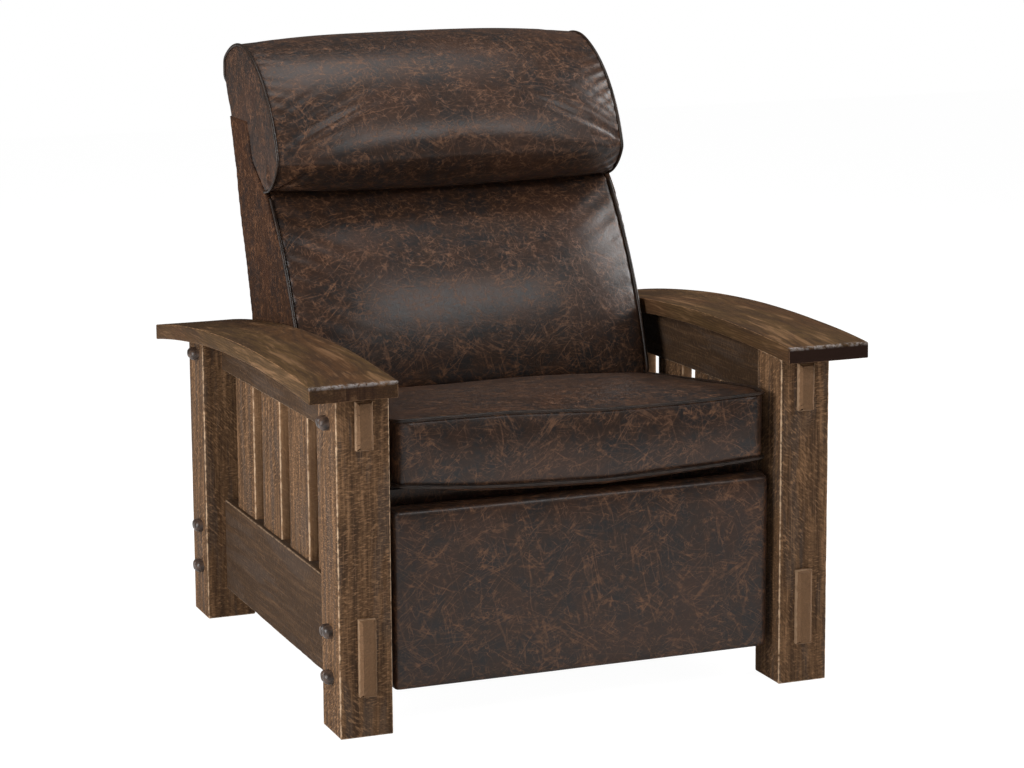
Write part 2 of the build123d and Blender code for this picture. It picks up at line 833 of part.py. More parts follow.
# Cushions
def cushion_outline(z, inset):
    """A seat cushion outline: drawn-in sides, a full front and round corners."""
    half = seat_half_width - inset
    front = from_front(seat_cushion_setback) + inset
    rear = from_front(seat_cushion_setback + seat_cushion_depth) - inset
    middle = (front + rear) / 2
    draw = seat_side_draw
    edges = ThreePointArc((-half, front), (0, front - seat_front_bulge), (half, front))
    edges = edges + ThreePointArc((half, front), (half - draw, middle), (half, rear))
    edges = edges + Line((half, rear), (-half, rear))
    edges = edges + ThreePointArc((-half, rear), (-half + draw, middle), (-half, front))
    face = make_face(edges)
    return Pos(0, 0, z) * fillet(face.vertices(), seat_corner_radius)


def seat_cushion():
    """The boxed seat cushion: drawn-in boxing under a crowned, sloping top."""
    low = seat_frame_top + soft_clearance
    high = low + seat_front_thickness + seat_crown * 2
    waist = low + seat_front_thickness / 2
    draw = seat_side_draw
    body = loft([cushion_outline(low, draw), cushion_outline(waist, draw), cushion_outline(high, 0)])
    front = from_front(seat_cushion_setback)
    slope = atan2(seat_front_thickness - seat_rear_thickness, seat_cushion_depth)
    radius = (seat_half_width**2 + seat_crown**2) / (2 * seat_crown)
    ridge = Pos(0, front, low + seat_front_thickness + seat_crown) * Rot(-degrees(slope), 0, 0)
    top = ridge * Pos(0, 0, -radius) * Rot(90, 0, 0) * Cylinder(radius, seat_cushion_depth * 3)
    shape = one(body & top)
    edges = shape.faces().sort_by(Axis.Z)[-1].edges()
    return fillet(edges, seat_edge_radius)


def back_cushion_outline(x, swell):
    """The back cushion's outline at one place across the chair."""
    front = back_places(back_front_shares)
    low_front, high_front = front[0], front[-1]
    gap = webbing_thickness / cos(frame_lean(headrest_lap[1])) + soft_clearance
    low_rear = back_frame_front_at(low_front[1])
    corners = back_places(back_frame_front_shares)
    between = [place for place in corners if low_rear[1] < place[1] < headrest_lap[1]]
    rear = shifted([low_rear] + between + [headrest_lap], -gap)
    lean = atan2(high_front[0] - low_front[0], high_front[1] - low_front[1])
    chord_mid = ((low_front[0] + high_front[0]) / 2, (low_front[1] + high_front[1]) / 2)
    bulge = (chord_mid[0] - swell * cos(lean), chord_mid[1] + swell * sin(lean))
    edges = ThreePointArc(low_front, bulge, high_front)
    edges = edges + Polyline(high_front, back_place(back_tip_shares), *rear[::-1], low_front)
    return make_face(Plane.YZ.offset(x) * edges)


def back_cushion(roll):
    """The back cushion between the side covers, crowned across its front, under the headrest roll."""
    half = back_cover_inner - soft_clearance
    shoulder = half - headrest_end_draw * 5
    near = back_welt_bow + back_cushion_crown * 2 / 3
    sections = [
        back_cushion_outline(-half, back_welt_bow),
        back_cushion_outline(-shoulder, near),
        back_cushion_outline(0, back_welt_bow + back_cushion_crown),
        back_cushion_outline(shoulder, near),
        back_cushion_outline(half, back_welt_bow),
    ]
    return one(loft(sections) - roll)


def headrest_outline(x, grow):
    """The headrest roll's outline at one place across the chair."""

    def place(shares, forward_share, upward_share):
        y, z = back_place(shares)
        return (y - grow * forward_share, z + grow * upward_share)

    frame_top = back_place(back_frame_front_shares[-1])
    frame_rear = back_place(back_rear_shares[-1])
    tip = back_place(back_tip_shares)
    nose = place(headrest_nose_shares, 1, 0)
    top_front = place(headrest_top_front_shares, 0, 1 / 4)
    rear_high = back_place(headrest_rear_high_shares)
    rear_low = back_place(headrest_rear_low_shares)
    edges = ThreePointArc(tip, place(headrest_under_mid_shares, 1 / 2, -1 / 2), nose)
    edges = edges + ThreePointArc(nose, place(headrest_front_mid_shares, 1, 1 / 2), top_front)
    edges = edges + ThreePointArc(top_front, place(headrest_top_mid_shares, 0, 1 / 4), rear_high)
    edges = edges + ThreePointArc(rear_high, back_place(headrest_rear_mid_shares), rear_low)
    edges = edges + Polyline(rear_low, frame_rear, frame_top, headrest_lap, tip)
    return make_face(Plane.YZ.offset(x) * edges)


def headrest_roll():
    """The headrest roll, fuller in the middle than at its sewn ends."""
    shoulder = headrest_half_width - headrest_end_draw * 3
    sections = [
        headrest_outline(-headrest_half_width, 0),
        headrest_outline(-shoulder, headrest_crown * 2 / 3),
        headrest_outline(0, headrest_crown),
        headrest_outline(shoulder, headrest_crown * 2 / 3),
        headrest_outline(headrest_half_width, 0),
    ]
    return loft(sections)


# Back frame and covers
def back_panel():
    """One plywood side panel of the back frame."""
    front = back_places(back_frame_front_shares)
    rear = shifted(back_places(back_rear_shares), -back_rear_cover_thickness)
    return polygon_prism(front + rear[::-1], back_panel_inner, back_cover_inner)


def rear_cover():
    """The outside back: a padded leather skin over the rear of the frame."""
    rear = back_places(back_rear_shares)
    inner = shifted(rear, -back_rear_cover_thickness)
    return polygon_prism(rear + inner[::-1], -back_cover_inner, back_cover_inner)


def side_cover():
    """One padded leather side of the back, from the front welt to the rear edge."""
    front = back_places(back_front_shares)
    rear = back_places(back_rear_shares)
    top = [back_place(back_tip_shares), headrest_lap, back_place(back_frame_front_shares[-1])]
    outline = front + top + rear[:0:-1] + [back_place(back_cover_low_rear_shares)]
    return polygon_prism(outline, back_cover_inner, back_half_width)


def back_rail(index, end_index):
    """A timber rail across the back frame, beside one corner of its panels."""
    front = back_places(back_frame_front_shares)
    corner = front[index]
    other = front[end_index]
    length = hypot(other[0] - corner[0], other[1] - corner[1])
    along = ((other[0] - corner[0]) / length, (other[1] - corner[1]) / length)
    side = (back_rail_thickness, 0)
    far = (corner[0] + along[0] * back_rail_height, corner[1] + along[1] * back_rail_height)
    outline = [corner, far, step_from(far, side), step_from(corner, side)]
    return polygon_prism(outline, -back_panel_inner, back_panel_inner)


def webbing():
    """The elastic straps across the front of the back frame."""
    shapes = []
    for share in webbing_height_shares:
        y, z = back_frame_front_at(back_hinge_height + share * back_height)
        place = Pos(0, y, z) * Rot(-degrees(frame_lean(z)), 0, 0) * Pos(0, -webbing_thickness / 2, 0)
        shapes.append(place * Box(back_cover_inner * 2, webbing_thickness, webbing_width))
    return shapes


def back_bracket():
    """One steel bracket from the hinge bolt to the back frame."""
    outer = back_cover_inner + back_bracket_thickness
    arm = polygon_prism(back_places(back_bracket_shares), back_cover_inner, outer)
    boss = rod(back_hinge, back_hinge_boss_radius, back_cover_inner, outer)
    web_places = [
        (back_hinge[0], back_hinge[1] - back_hinge_boss_radius / 2),
        back_place(back_bracket_shares[1]),
        back_place(back_bracket_shares[3]),
        (back_hinge[0] - back_hinge_boss_radius / 2, back_hinge[1] + back_hinge_boss_radius / 2),
    ]
    web = polygon_prism(web_places, back_cover_inner, outer)
    hole = rod(back_hinge, back_hinge_radius + pivot_clearance, back_cover_inner, outer)
    return one(arm + boss + web - hole)


# The whole chair
front_stretcher = stretcher(from_front(front_tie_setback), stretcher_height)
rear_stretcher = stretcher(rail_rear - stretcher_thickness, rear_stretcher_height)
track_screws = [track_screw(y) for y in track_screw_places()]
side_frame([front_stretcher, rear_stretcher], track_screws)
save("front_stretcher", front_stretcher)
save("rear_stretcher", rear_stretcher)

save_pair("slide_track", slide_track(track_screws))
save("track_screws", *both_sides(track_screws))

bolts = [pivot_bolt(drive_pivot, 3), pivot_bolt(control_pivot, 1), hinge_bolt()]
plate = carriage_plate()
for bolt in bolts:
    plate = plate - bolt
seat_screws = lag_screws()
for seat_screw in seat_screws:
    plate = plate - seat_screw
save_pair("carriage_plate", one(plate))
save("carriage_bolts", *both_sides(bolts))
save("seat_frame_screws", *both_sides(seat_screws))
shoes = [glide_shoe(front_shoe_setback), glide_shoe(back_hinge_setback)]
save("glide_shoes", *both_sides(shoes))
save("front_cross_tube", cross_tube(front_tube_setback, front_tube_height))
save("rear_cross_tube", cross_tube(rear_tube_setback, rear_tube_height))
front_rail, rear_rail, side_rail = seat_rails(seat_screws)
save("seat_front_rail", front_rail)
save("seat_rear_rail", rear_rail)
save_pair("seat_side_rail", side_rail)
save("seat_springs", *[seat_spring(x) for x in spring_places()])
save("seat_spring_clips", *spring_clips())
save("seat_cushion", seat_cushion())

save_pair("rear_link", rear_link())
save("torque_tube", torque_tube())
save_pair("front_link", front_link())
save_pair("rear_control_link", rear_control_link())
save_pair("front_control_link", front_control_link())
save_pair("footrest_bracket", footrest_bracket())
panel_board = footrest_board()
save("footrest_board", panel_board)
save("footrest_pad", footrest_pad(panel_board))

save_pair("back_bracket", back_bracket())
save_pair("back_panel", back_panel())
save("back_top_rail", back_rail(-1, -2))
save("back_bottom_rail", back_rail(0, 1))
save("back_webbing", *webbing())
save_pair("side_cover", side_cover())
save("rear_cover", rear_cover())
roll = headrest_roll()
save("back_cushion", back_cushion(roll))
save("headrest_roll", roll)
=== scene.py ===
import json
import math

import bpy
import numpy as np
from mathutils import Matrix, Vector, noise


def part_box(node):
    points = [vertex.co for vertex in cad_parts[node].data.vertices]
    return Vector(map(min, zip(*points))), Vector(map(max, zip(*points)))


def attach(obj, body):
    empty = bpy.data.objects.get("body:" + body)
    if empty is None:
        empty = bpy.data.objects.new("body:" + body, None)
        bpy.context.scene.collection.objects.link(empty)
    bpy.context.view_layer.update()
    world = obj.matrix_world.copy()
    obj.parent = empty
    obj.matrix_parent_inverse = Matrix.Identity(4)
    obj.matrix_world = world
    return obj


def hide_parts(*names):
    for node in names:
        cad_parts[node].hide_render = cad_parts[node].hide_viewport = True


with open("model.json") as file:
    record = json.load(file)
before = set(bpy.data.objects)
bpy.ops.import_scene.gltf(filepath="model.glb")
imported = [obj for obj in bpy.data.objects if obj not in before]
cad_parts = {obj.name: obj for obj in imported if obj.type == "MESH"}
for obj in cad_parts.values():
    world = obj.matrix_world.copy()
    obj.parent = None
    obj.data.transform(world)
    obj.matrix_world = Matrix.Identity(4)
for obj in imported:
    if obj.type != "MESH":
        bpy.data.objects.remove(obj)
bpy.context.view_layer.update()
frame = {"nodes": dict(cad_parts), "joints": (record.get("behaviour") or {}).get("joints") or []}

bl_info = {
    "name": "Wall Hugger Recliner",
    "version": (1, 0, 0),
    "blender": (4, 5, 0),
    "location": "View3D > Sidebar > Recliner",
    "description": "Timber, leather and hardware of a bow-arm recliner, dressed on its packed frame",
    "category": "Add Mesh",
}

# Everything is in metres. +X is the viewer's right, the chair faces -Y, +Z is up.
# TOUCH and NEAR say how close two places have to be to count as one.
MM = 0.001
TOUCH = 0.001 * MM
NEAR = 0.1 * MM
SIDES = (("left", -1), ("right", 1))


# Kinds of values a user would change
def length_setting(name, description, default):
    """A length, whose default is given in millimetres."""
    return bpy.props.FloatProperty(name=name, description=description, default=default * MM, unit="LENGTH")


def colour_setting(name, description, default):
    """A linear colour."""
    return bpy.props.FloatVectorProperty(name=name, description=description, default=default, subtype="COLOR")


def power_setting(name, description, default):
    """A lamp's power, in watts."""
    return bpy.props.FloatProperty(name=name, description=description, default=default, unit="POWER")


class TimberSettings(bpy.types.PropertyGroup):
    """Sizes and colours of the sawn timber."""

    arris: length_setting("Arris", "Width of the worn rounding along a board's edges", 1.9)
    chip: length_setting("Chip", "How deep wear eats into an arris", 1.1)
    cut_pitch: length_setting("Cut pitch", "Distance between the loops along a board", 11)
    # How far the pale of an arris reaches: wear and a painted highlight
    wear_highlight_reach: length_setting("Wear reach", "How far pale wear spreads from an arris", 7)
    hewn_edge: length_setting("Hewn edge", "Width of the hewn chamfer on the arms' ends", 2)
    brown: colour_setting("Brown", "Main colour of the rough timber", (0.100, 0.0535, 0.0265))
    rail_brown: colour_setting("Rail brown", "Main colour of the rails", (0.051, 0.0285, 0.0145))
    # Tan also paints the highlights along the slats' front edges and the arms' arrises
    tan: colour_setting("Tan", "Colour of saw marks and tenon ends", (0.28, 0.155, 0.080))
    # Pale tan of the arrises: worn wood and a painted highlight along the edges
    worn_and_highlight: colour_setting("Worn", "Colour of the worn arrises", (0.44, 0.30, 0.19))
    dark: colour_setting("Dark", "Colour of the grain's dark streaks", (0.036, 0.021, 0.013))
    grey: colour_setting("Grey", "Colour of the weathered grey streaks", (0.064, 0.045, 0.034))
    arm_brown: colour_setting("Arm brown", "Main colour of the smoother arms", (0.068, 0.039, 0.017))
    arm_red: colour_setting("Arm red", "Redder patches of the arms", (0.066, 0.031, 0.015))
    arm_end: colour_setting("Arm end", "Colour of the arms' sawn ends", (0.020, 0.010, 0.007))
    # Grey of the chipped front edge, partly a painted highlight along it
    chipped_highlight: colour_setting("Chipped", "Grey of the arms' chipped front edge", (0.24, 0.215, 0.205))


class LeatherSettings(bpy.types.PropertyGroup):
    """Sizes and colours of the leather and the cushions."""

    welt_radius: length_setting("Welt radius", "Radius of the piping in the seams", 2.8)
    voxel: length_setting("Voxel", "Mesh size of the simulated cushions", 6)
    pressure: bpy.props.FloatProperty(
        name="Pressure", description="Air pressure that fills a cushion", default=4.0, min=0.0
    )
    swell_cap: length_setting("Swell cap", "How far filling may move a point, at a full share", 26)
    hide: colour_setting("Hide", "Dark ground colour of the leather", (0.0235, 0.0130, 0.0087))
    slate: colour_setting("Slate", "Cool dark patches of the leather", (0.0125, 0.0110, 0.0110))
    rust: colour_setting("Rust", "Warm rubbed patches of the leather", (0.044, 0.0195, 0.0105))
    vein: colour_setting("Vein", "Scratches and creases where the tan hide shows", (0.155, 0.073, 0.037))


class StudioSettings(bpy.types.PropertyGroup):
    """Strengths of the studio lamps."""

    left: power_setting("Left", "Power of the left lamp", 142.0)
    right: power_setting("Right", "Power of the right lamp", 135.0)
    front: power_setting("Front", "Power of the front lamp", 34.0)
    low: power_setting("Low", "Power of the low front lamp", 3.0)
    top: power_setting("Top", "Power of the overhead lamp", 30.0)
    world: bpy.props.FloatProperty(
        name="World", description="Strength of the even white light", default=0.10, min=0.0
    )


# Shader maths
class Signal:
    """A shader socket that takes part in sums and products."""

    def __init__(self, nodes, socket):
        self.nodes = nodes
        self.socket = socket

    def maths(self, operation, *others):
        return self.nodes.add("Math", {"operation": operation}, dict(enumerate((self, *others))))

    def __add__(self, other):
        return self.maths("ADD", other)

    def __sub__(self, other):
        return self.maths("SUBTRACT", other)

    def __rsub__(self, other):
        return self.nodes.add("Math", {"operation": "SUBTRACT"}, {0: other, 1: self})

    def __mul__(self, other):
        return self.maths("MULTIPLY", other)

    def __pow__(self, other):
        return self.maths("POWER", other)

    def __abs__(self):
        return self.maths("ABSOLUTE")

    __radd__ = __add__

    def least(self, other):
        return self.maths("MINIMUM", other)

    def most(self, other):
        return self.maths("MAXIMUM", other)

    def sine(self):
        return self.maths("SINE")

    def rise(self, low, high):
        """A smooth step from 0 at low to 1 at high."""
        settings = {"interpolation_type": "SMOOTHSTEP"}
        return self.nodes.add("MapRange", settings, {"Value": self, "From Min": low, "From Max": high})


class Nodes:
    """A node tree, and the one way its nodes are added."""

    def __init__(self, tree):
        self.tree = tree

    def add(self, kind, settings=None, links=None, output=0):
        """One node: its settings first, then the values or links of its sockets."""
        node = self.tree.nodes.new("ShaderNode" + kind)
        for name, value in (settings or {}).items():
            setattr(node, name, value)
        for name, value in (links or {}).items():
            self.feed(node.inputs[name], value)
        return Signal(self, node.outputs[output]) if node.outputs else None

    def feed(self, socket, value):
        """Links a signal to a socket, or sets its value."""
        if isinstance(value, Signal):
            self.tree.links.new(value.socket, socket)
        elif socket.type == "RGBA":
            socket.default_value = (*value, 1.0)
        else:
            socket.default_value = value


class Finish(Nodes):
    """One node material, and the ways its patterns are made."""

    def __init__(self, name, **shader):
        self.material = bpy.data.materials.new(name)
        self.material.use_nodes = True
        super().__init__(self.material.node_tree)
        self.shader = self.tree.nodes["Principled BSDF"]
        self.set(**shader)
        self.place = self.add("TexCoord", None, None, "Object")

    def set(self, **signals):
        """Feeds the shader's sockets."""
        for name, value in signals.items():
            self.feed(self.shader.inputs[name.replace("_", " ")], value)

    def moved(self, scale=(1, 1, 1), turn=(0, 0, 0), step=(0, 0, 0), place=None):
        """The place, turned, stepped and scaled."""
        angles = [math.radians(angle) for angle in turn]
        links = {"Vector": place or self.place, "Scale": scale, "Rotation": angles, "Location": step}
        return self.add("Mapping", None, links)

    def noise(self, place, scale, detail=3.0, rough=0.5, output="Fac"):
        links = {"Vector": place, "Scale": scale, "Detail": detail, "Roughness": rough}
        return self.add("TexNoise", None, links, output)

    def grain(self, place, stretch, scale, detail=3.0, rough=0.6):
        """A noise drawn out along Z."""
        return self.noise(self.moved(scale=(1, 1, stretch), place=place), scale, detail, rough)

    def share(self, name):
        """A share stored on the piece's points."""
        return self.add("Attribute", {"attribute_name": name}, None, "Fac")

    def vectors(self, operation, links):
        return self.add("VectorMath", {"operation": operation}, links)

    def warped(self, place, scale, strength, detail=2.0):
        """The place pushed about by a noise, for patterns that wander."""
        drift = self.noise(place, scale, detail, output="Color")
        push = self.vectors("SUBTRACT", {0: drift, 1: (0.5, 0.5, 0.5)})
        return self.vectors("ADD", {0: place, 1: self.vectors("SCALE", {0: push, "Scale": strength})})

    def mix(self, share, first, second):
        """Two colours mixed by a share."""
        return self.add("Mix", {"data_type": "RGBA"}, {0: share, 6: first, 7: second}, 2)

    def coats(self, colour, *coats):
        """A colour with others laid over it in turn, each by its share."""
        for share, coat in coats:
            colour = self.mix(share, colour, tuple(coat))
        return colour

    def bump(self, height, distance, strength):
        """Feeds a height in metres to the shader's normal."""
        links = {"Height": height, "Distance": distance, "Strength": strength}
        self.set(Normal=self.add("Bump", None, links))
        return self.material


# Leather: each row is one sheaf of scratches, with its turn, scale, stretch, width, strength and place
SCRATCHES = (
    ((4, 12, 0), 80.0, 0.10, 0.042, 0.75, (0.0, 0.0, 0.0)),
    ((-6, 56, 0), 86.0, 0.10, 0.042, 0.75, (3.1, 1.7, 5.3)),
    ((8, -40, 0), 74.0, 0.09, 0.038, 0.8, (7.9, 4.4, 2.6)),
    ((2, 82, 0), 90.0, 0.12, 0.044, 0.6, (1.2, 8.8, 6.1)),
    ((3, -68, 0), 96.0, 0.12, 0.044, 0.7, (5.6, 2.3, 9.4)),
    ((72, 22, 0), 84.0, 0.12, 0.042, 0.7, (9.3, 6.4, 1.8)),
    ((-60, -28, 0), 92.0, 0.12, 0.042, 0.7, (2.2, 5.1, 7.7)),
)


def scratches(finish, place, turn, scale, stretch, width, step):
    """Thin broken lines that run mostly one way."""
    turned = finish.moved(turn=turn, step=step, place=place)
    lines = 1.0 - abs(finish.grain(turned, stretch, scale, 1.0, 0.5) - 0.5).rise(0.0, width)
    return lines * finish.grain(turned, 0.35, 44.0, 3.0, 0.65).rise(0.44, 0.68)


def make_leather(name, settings, redness=0.0, gloss=0.27, roughness=0.28):
    """Distressed pull-up leather: dark hide, cool patches, a web of tan creases and scratches."""
    finish = Finish(name, Specular_IOR_Level=gloss)
    place = finish.place
    wander = finish.warped(finish.warped(place, 9.0, 0.016, 1.0), 60.0, 0.0022, 2.0)
    patch = finish.noise(place, 9.0, 3.0, 0.55)
    cloud = finish.noise(wander, 34.0, 4.0, 0.6)
    mottle = finish.noise(wander, 130.0, 4.0, 0.65)
    web = 0.0
    for turn, scale, stretch, width, strength, step in SCRATCHES:
        web = scratches(finish, wander, turn, scale, stretch, width, step) * strength + web
    web = web.least(1.0)
    colour = finish.coats(
        tuple(settings.hide),
        (cloud.rise(0.42, 0.62) * 0.9, settings.slate),
        ((patch.rise(0.44, 0.66) * 0.5 + redness).least(1.0), settings.rust),
        (mottle.rise(0.46, 0.74) * 0.5, settings.rust),
        (web * (mottle.rise(0.36, 0.66) * 0.5 + 0.35), settings.vein),
    )
    finish.set(Base_Color=colour, Roughness=roughness + mottle * 0.14 + web * 0.12)
    pebble = finish.add("TexVoronoi", {"feature": "SMOOTH_F1"}, {"Vector": place, "Scale": 560.0}, "Distance")
    return finish.bump(pebble * 0.35 + mottle * 0.9 - web * 0.35, 0.5 * MM, 0.5)


# Timber: turns that lay the patterns' Z along each axis, and the heart that the arms' rings run round
GRAIN_TURNS = ((0, 90, 0), (90, 0, 0), (0, 0, 0))
HEART_X = 400 * MM
HEART_Z = 425 * MM
RINGS_PER_METRE = 1700.0


def ripples(finish, along, tilt, scale, stretch=0.3):
    """Short marks across the grain, tilted, as a saw leaves them."""
    tilted = finish.moved(turn=tilt, place=along)
    return finish.noise(finish.moved(scale=(stretch, stretch, 1.0), place=tilted), scale, 2.0, 0.55)


def make_rough_timber(name, settings, axis, main, shade):
    """Rough-sawn timber: streaked grain along one axis, saw marks across it, and worn arrises painted paler,
    partly as a painted highlight.
    """
    finish = Finish(name, Specular_IOR_Level=0.07)
    along = finish.moved(turn=GRAIN_TURNS[axis])
    wander = finish.warped(along, 7.0, 0.014)
    columns = finish.grain(wander, 0.05, 95.0, 4.0)
    broad = finish.grain(wander, 0.12, 42.0, 3.0, 0.55)
    hair = finish.grain(along, 0.03, 420.0)
    bent = finish.warped(along, 16.0, 0.010)
    level_marks = ripples(finish, bent, (8, 6, 0), 440.0)
    steep_marks = ripples(finish, bent, (40, -36, 0), 380.0, 0.26)
    sawn = finish.grain(along, 0.6, 8.0, 2.0, 0.5).rise(0.42, 0.58)
    marks = level_marks * sawn + steep_marks * (1.0 - sawn)
    fleck = finish.grain(along, 0.5, 520.0, 2.0)
    nibbled_highlight = finish.share("wear") * (0.5 + finish.noise(along, 110.0) * 0.9)
    colour = finish.coats(
        main,
        (columns.rise(0.50, 0.70) * (0.55 - shade), settings.tan),
        (columns.rise(0.52, 0.34) * 0.75, settings.dark),
        (broad.rise(0.50, 0.62) * 0.7, settings.grey),
        (marks.rise(0.52, 0.34) * 0.6, settings.dark),
        (marks.rise(0.53, 0.70) * (0.6 - shade), settings.tan),
        (hair.rise(0.52, 0.74) * 0.3, settings.tan),
        (fleck.rise(0.58, 0.76) * 0.4, settings.dark),
        # The pale share paints tan: the tenon ends' own paler tone, and along the slats' front edges a
        # painted highlight
        (finish.share("pale") * (0.35 + hair * 0.6 + marks * 0.3), settings.tan),
        (shade, settings.dark),
        # Pale along the arrises: partly wear, partly a painted highlight
        (nibbled_highlight.rise(0.66, 0.98) * (0.95 - shade * 1.5), settings.worn_and_highlight),
    )
    finish.set(Base_Color=colour, Roughness=0.6 + fleck * 0.2)
    return finish.bump(marks * 1.3 + columns * 0.6 + hair * 0.5, 0.9 * MM, 0.9)


def make_arm_timber(name, settings):
    """Smoother, olive-brown timber of the arms, whose bow cuts through the growth rings."""
    finish = Finish(name, Specular_IOR_Level=0.04)
    along = finish.moved(turn=GRAIN_TURNS[1])
    wander = finish.warped(along, 4.0, 0.05)
    drift = finish.grain(along, 0.25, 9.0, 3.0, 0.5)
    across = abs(finish.add("SeparateXYZ", None, {"Vector": finish.place}, "X")) - HEART_X
    deep = finish.add("SeparateXYZ", None, {"Vector": finish.place}, "Z") - HEART_Z
    radius = (across * across + deep * deep) ** 0.5
    rings = ((radius * RINGS_PER_METRE) + drift * 44.0).sine() * 0.5 + 0.5
    streaks = finish.grain(wander, 0.06, 60.0, 4.0)
    fibres = finish.grain(along, 0.05, 480.0)
    broad = finish.grain(along, 0.3, 9.0, 3.0, 0.5)
    stripes = finish.noise(finish.moved(scale=(1, 0.03, 0.03)), 90.0, 3.0, 0.6).rise(0.48, 0.62)
    cut_end = finish.share("end")
    nibbled_highlight = finish.share("wear") * (0.5 + finish.noise(along, 90.0) * 0.9)
    chips_and_highlight = finish.share("hewn") * finish.noise(along, 110.0, 4.0, 0.65).rise(0.40, 0.60)
    colour = finish.coats(
        tuple(settings.arm_brown),
        (broad.rise(0.40, 0.62) * 0.8, settings.arm_red),
        (rings.rise(0.45, 1.0) * 0.5, settings.dark),
        (streaks.rise(0.46, 0.66) * 0.7, settings.dark),
        (streaks.rise(0.46, 0.32) * 0.35, settings.tan),
        (fibres.rise(0.5, 0.75) * 0.25, settings.tan),
        ((cut_end * (0.55 + stripes * 0.7) + cut_end * cut_end * 0.6).least(1.0), settings.arm_end),
        # Tan along the arrises: partly wear, partly a painted highlight
        (nibbled_highlight.rise(0.60, 0.98) * 0.6, settings.tan),
        # Grey on the hewn front edge: chipped wood and a painted highlight
        (chips_and_highlight * 0.9, settings.chipped_highlight),
    )
    finish.set(Base_Color=colour, Roughness=0.52 + fibres * 0.16 + cut_end * 0.1)
    return finish.bump(rings * 0.15 + streaks * 0.6 + fibres * 0.4 + chips_and_highlight * 1.5, 0.5 * MM, 0.6)


def make_plain(name, colour, second, scale, roughness, metallic=0.0, stretch=(1, 1, 1), gloss=0.5):
    """A quiet finish: two near colours in a noise, with its roughness and a fine bump."""
    finish = Finish(name, Metallic=metallic, Specular_IOR_Level=gloss)
    place = finish.moved(scale=stretch)
    pattern = finish.noise(place, scale, 5.0, 0.6)
    fine = finish.noise(place, scale * 9.0, 3.0, 0.6)
    blend = finish.mix(pattern.rise(0.35, 0.68), colour, second)
    finish.set(Base_Color=blend, Roughness=roughness - 0.06 + fine * 0.14)
    return finish.bump(pattern + fine * 0.5, 0.3 * MM, 0.4)


# Plain finishes: material, its two colours, the pattern's scale, the roughness, and what differs
PLAIN_FINISHES = {
    "welt": ("welt_leather", (0.012, 0.008, 0.006), (0.030, 0.017, 0.011), 60.0, 0.36, {"gloss": 0.22}),
    "peg": ("peg_timber", (0.030, 0.021, 0.017), (0.085, 0.052, 0.036), 90.0, 0.34, {"gloss": 0.35}),
    "inner_timber": (
        "seat_frame_timber", (0.42, 0.28, 0.16), (0.55, 0.40, 0.25), 60.0, 0.6, {"stretch": (0.15, 1, 1)}
    ),
    "plywood": ("plywood", (0.40, 0.27, 0.16), (0.52, 0.38, 0.24), 40.0, 0.6, {"stretch": (0.1, 1, 1)}),
    "black_steel": ("black_steel", (0.018, 0.018, 0.02), (0.03, 0.03, 0.032), 220.0, 0.42, {}),
    "zinc": ("zinc_steel", (0.42, 0.42, 0.40), (0.56, 0.56, 0.53), 260.0, 0.36, {"metallic": 0.9}),
    "nylon": ("nylon", (0.70, 0.69, 0.63), (0.78, 0.77, 0.72), 120.0, 0.5, {}),
    "webbing": (
        "elastic_webbing", (0.02, 0.02, 0.022), (0.06, 0.058, 0.055), 900.0, 0.8, {"stretch": (0.2, 1, 1)}
    ),
}
RAIL_SHADE = 0.38
FINISHES = {}


def paint(piece, finish):
    """Gives a piece one finish."""
    piece.data.materials.clear()
    piece.data.materials.append(FINISHES[finish])


# Modelling steps shared by the operators
def alone(piece):
    """Selects one piece and nothing else."""
    bpy.ops.object.select_all(action="DESELECT")
    piece.hide_set(False)
    piece.select_set(True)
    bpy.context.view_layer.objects.active = piece


def block(name, low, high):
    """A plain block between two corners."""
    bpy.ops.object.select_all(action="DESELECT")
    low, high = Vector(low), Vector(high)
    bpy.ops.mesh.primitive_cube_add(size=1, location=(low + high) / 2, scale=high - low)
    piece = bpy.context.object
    piece.name = piece.data.name = name
    bpy.ops.object.transform_apply(location=True, rotation=True, scale=True)
    return piece


def select_edges(piece, wanted):
    """Selects in edit mode the edges whose two ends pass a test."""
    bpy.ops.object.mode_set(mode="EDIT")
    bpy.ops.mesh.select_mode(type="EDGE")
    bpy.ops.mesh.select_all(action="DESELECT")
    bpy.ops.object.mode_set(mode="OBJECT")
    points = [vertex.co for vertex in piece.data.vertices]
    for edge in piece.data.edges:
        edge.select = wanted(points[edge.vertices[0]], points[edge.vertices[1]])
    bpy.ops.object.mode_set(mode="EDIT")


def bevel_edges(piece, wanted, width, segments, profile=0.5):
    """Bevels the edges whose two ends pass a test."""
    select_edges(piece, wanted)
    bpy.ops.mesh.bevel(offset=width, segments=segments, affect="EDGES", profile=profile)
    bpy.ops.object.mode_set(mode="OBJECT")


def split_along(piece, axis, count):
    """Divides a block's long edges into equal lengths."""
    other = [index for index in range(3) if index != axis]
    select_edges(piece, lambda a, b: all(abs(a[i] - b[i]) < TOUCH for i in other))
    bpy.ops.mesh.subdivide(number_cuts=count)
    bpy.ops.object.mode_set(mode="OBJECT")


def cut_loops(piece, axis, places):
    """Cuts loops round a piece at places along one axis."""
    bpy.ops.object.mode_set(mode="EDIT")
    for place in places:
        bpy.ops.mesh.select_all(action="SELECT")
        point = [place if index == axis else 0.0 for index in range(3)]
        normal = [1.0 if index == axis else 0.0 for index in range(3)]
        bpy.ops.mesh.bisect(plane_co=point, plane_no=normal)
    bpy.ops.object.mode_set(mode="OBJECT")


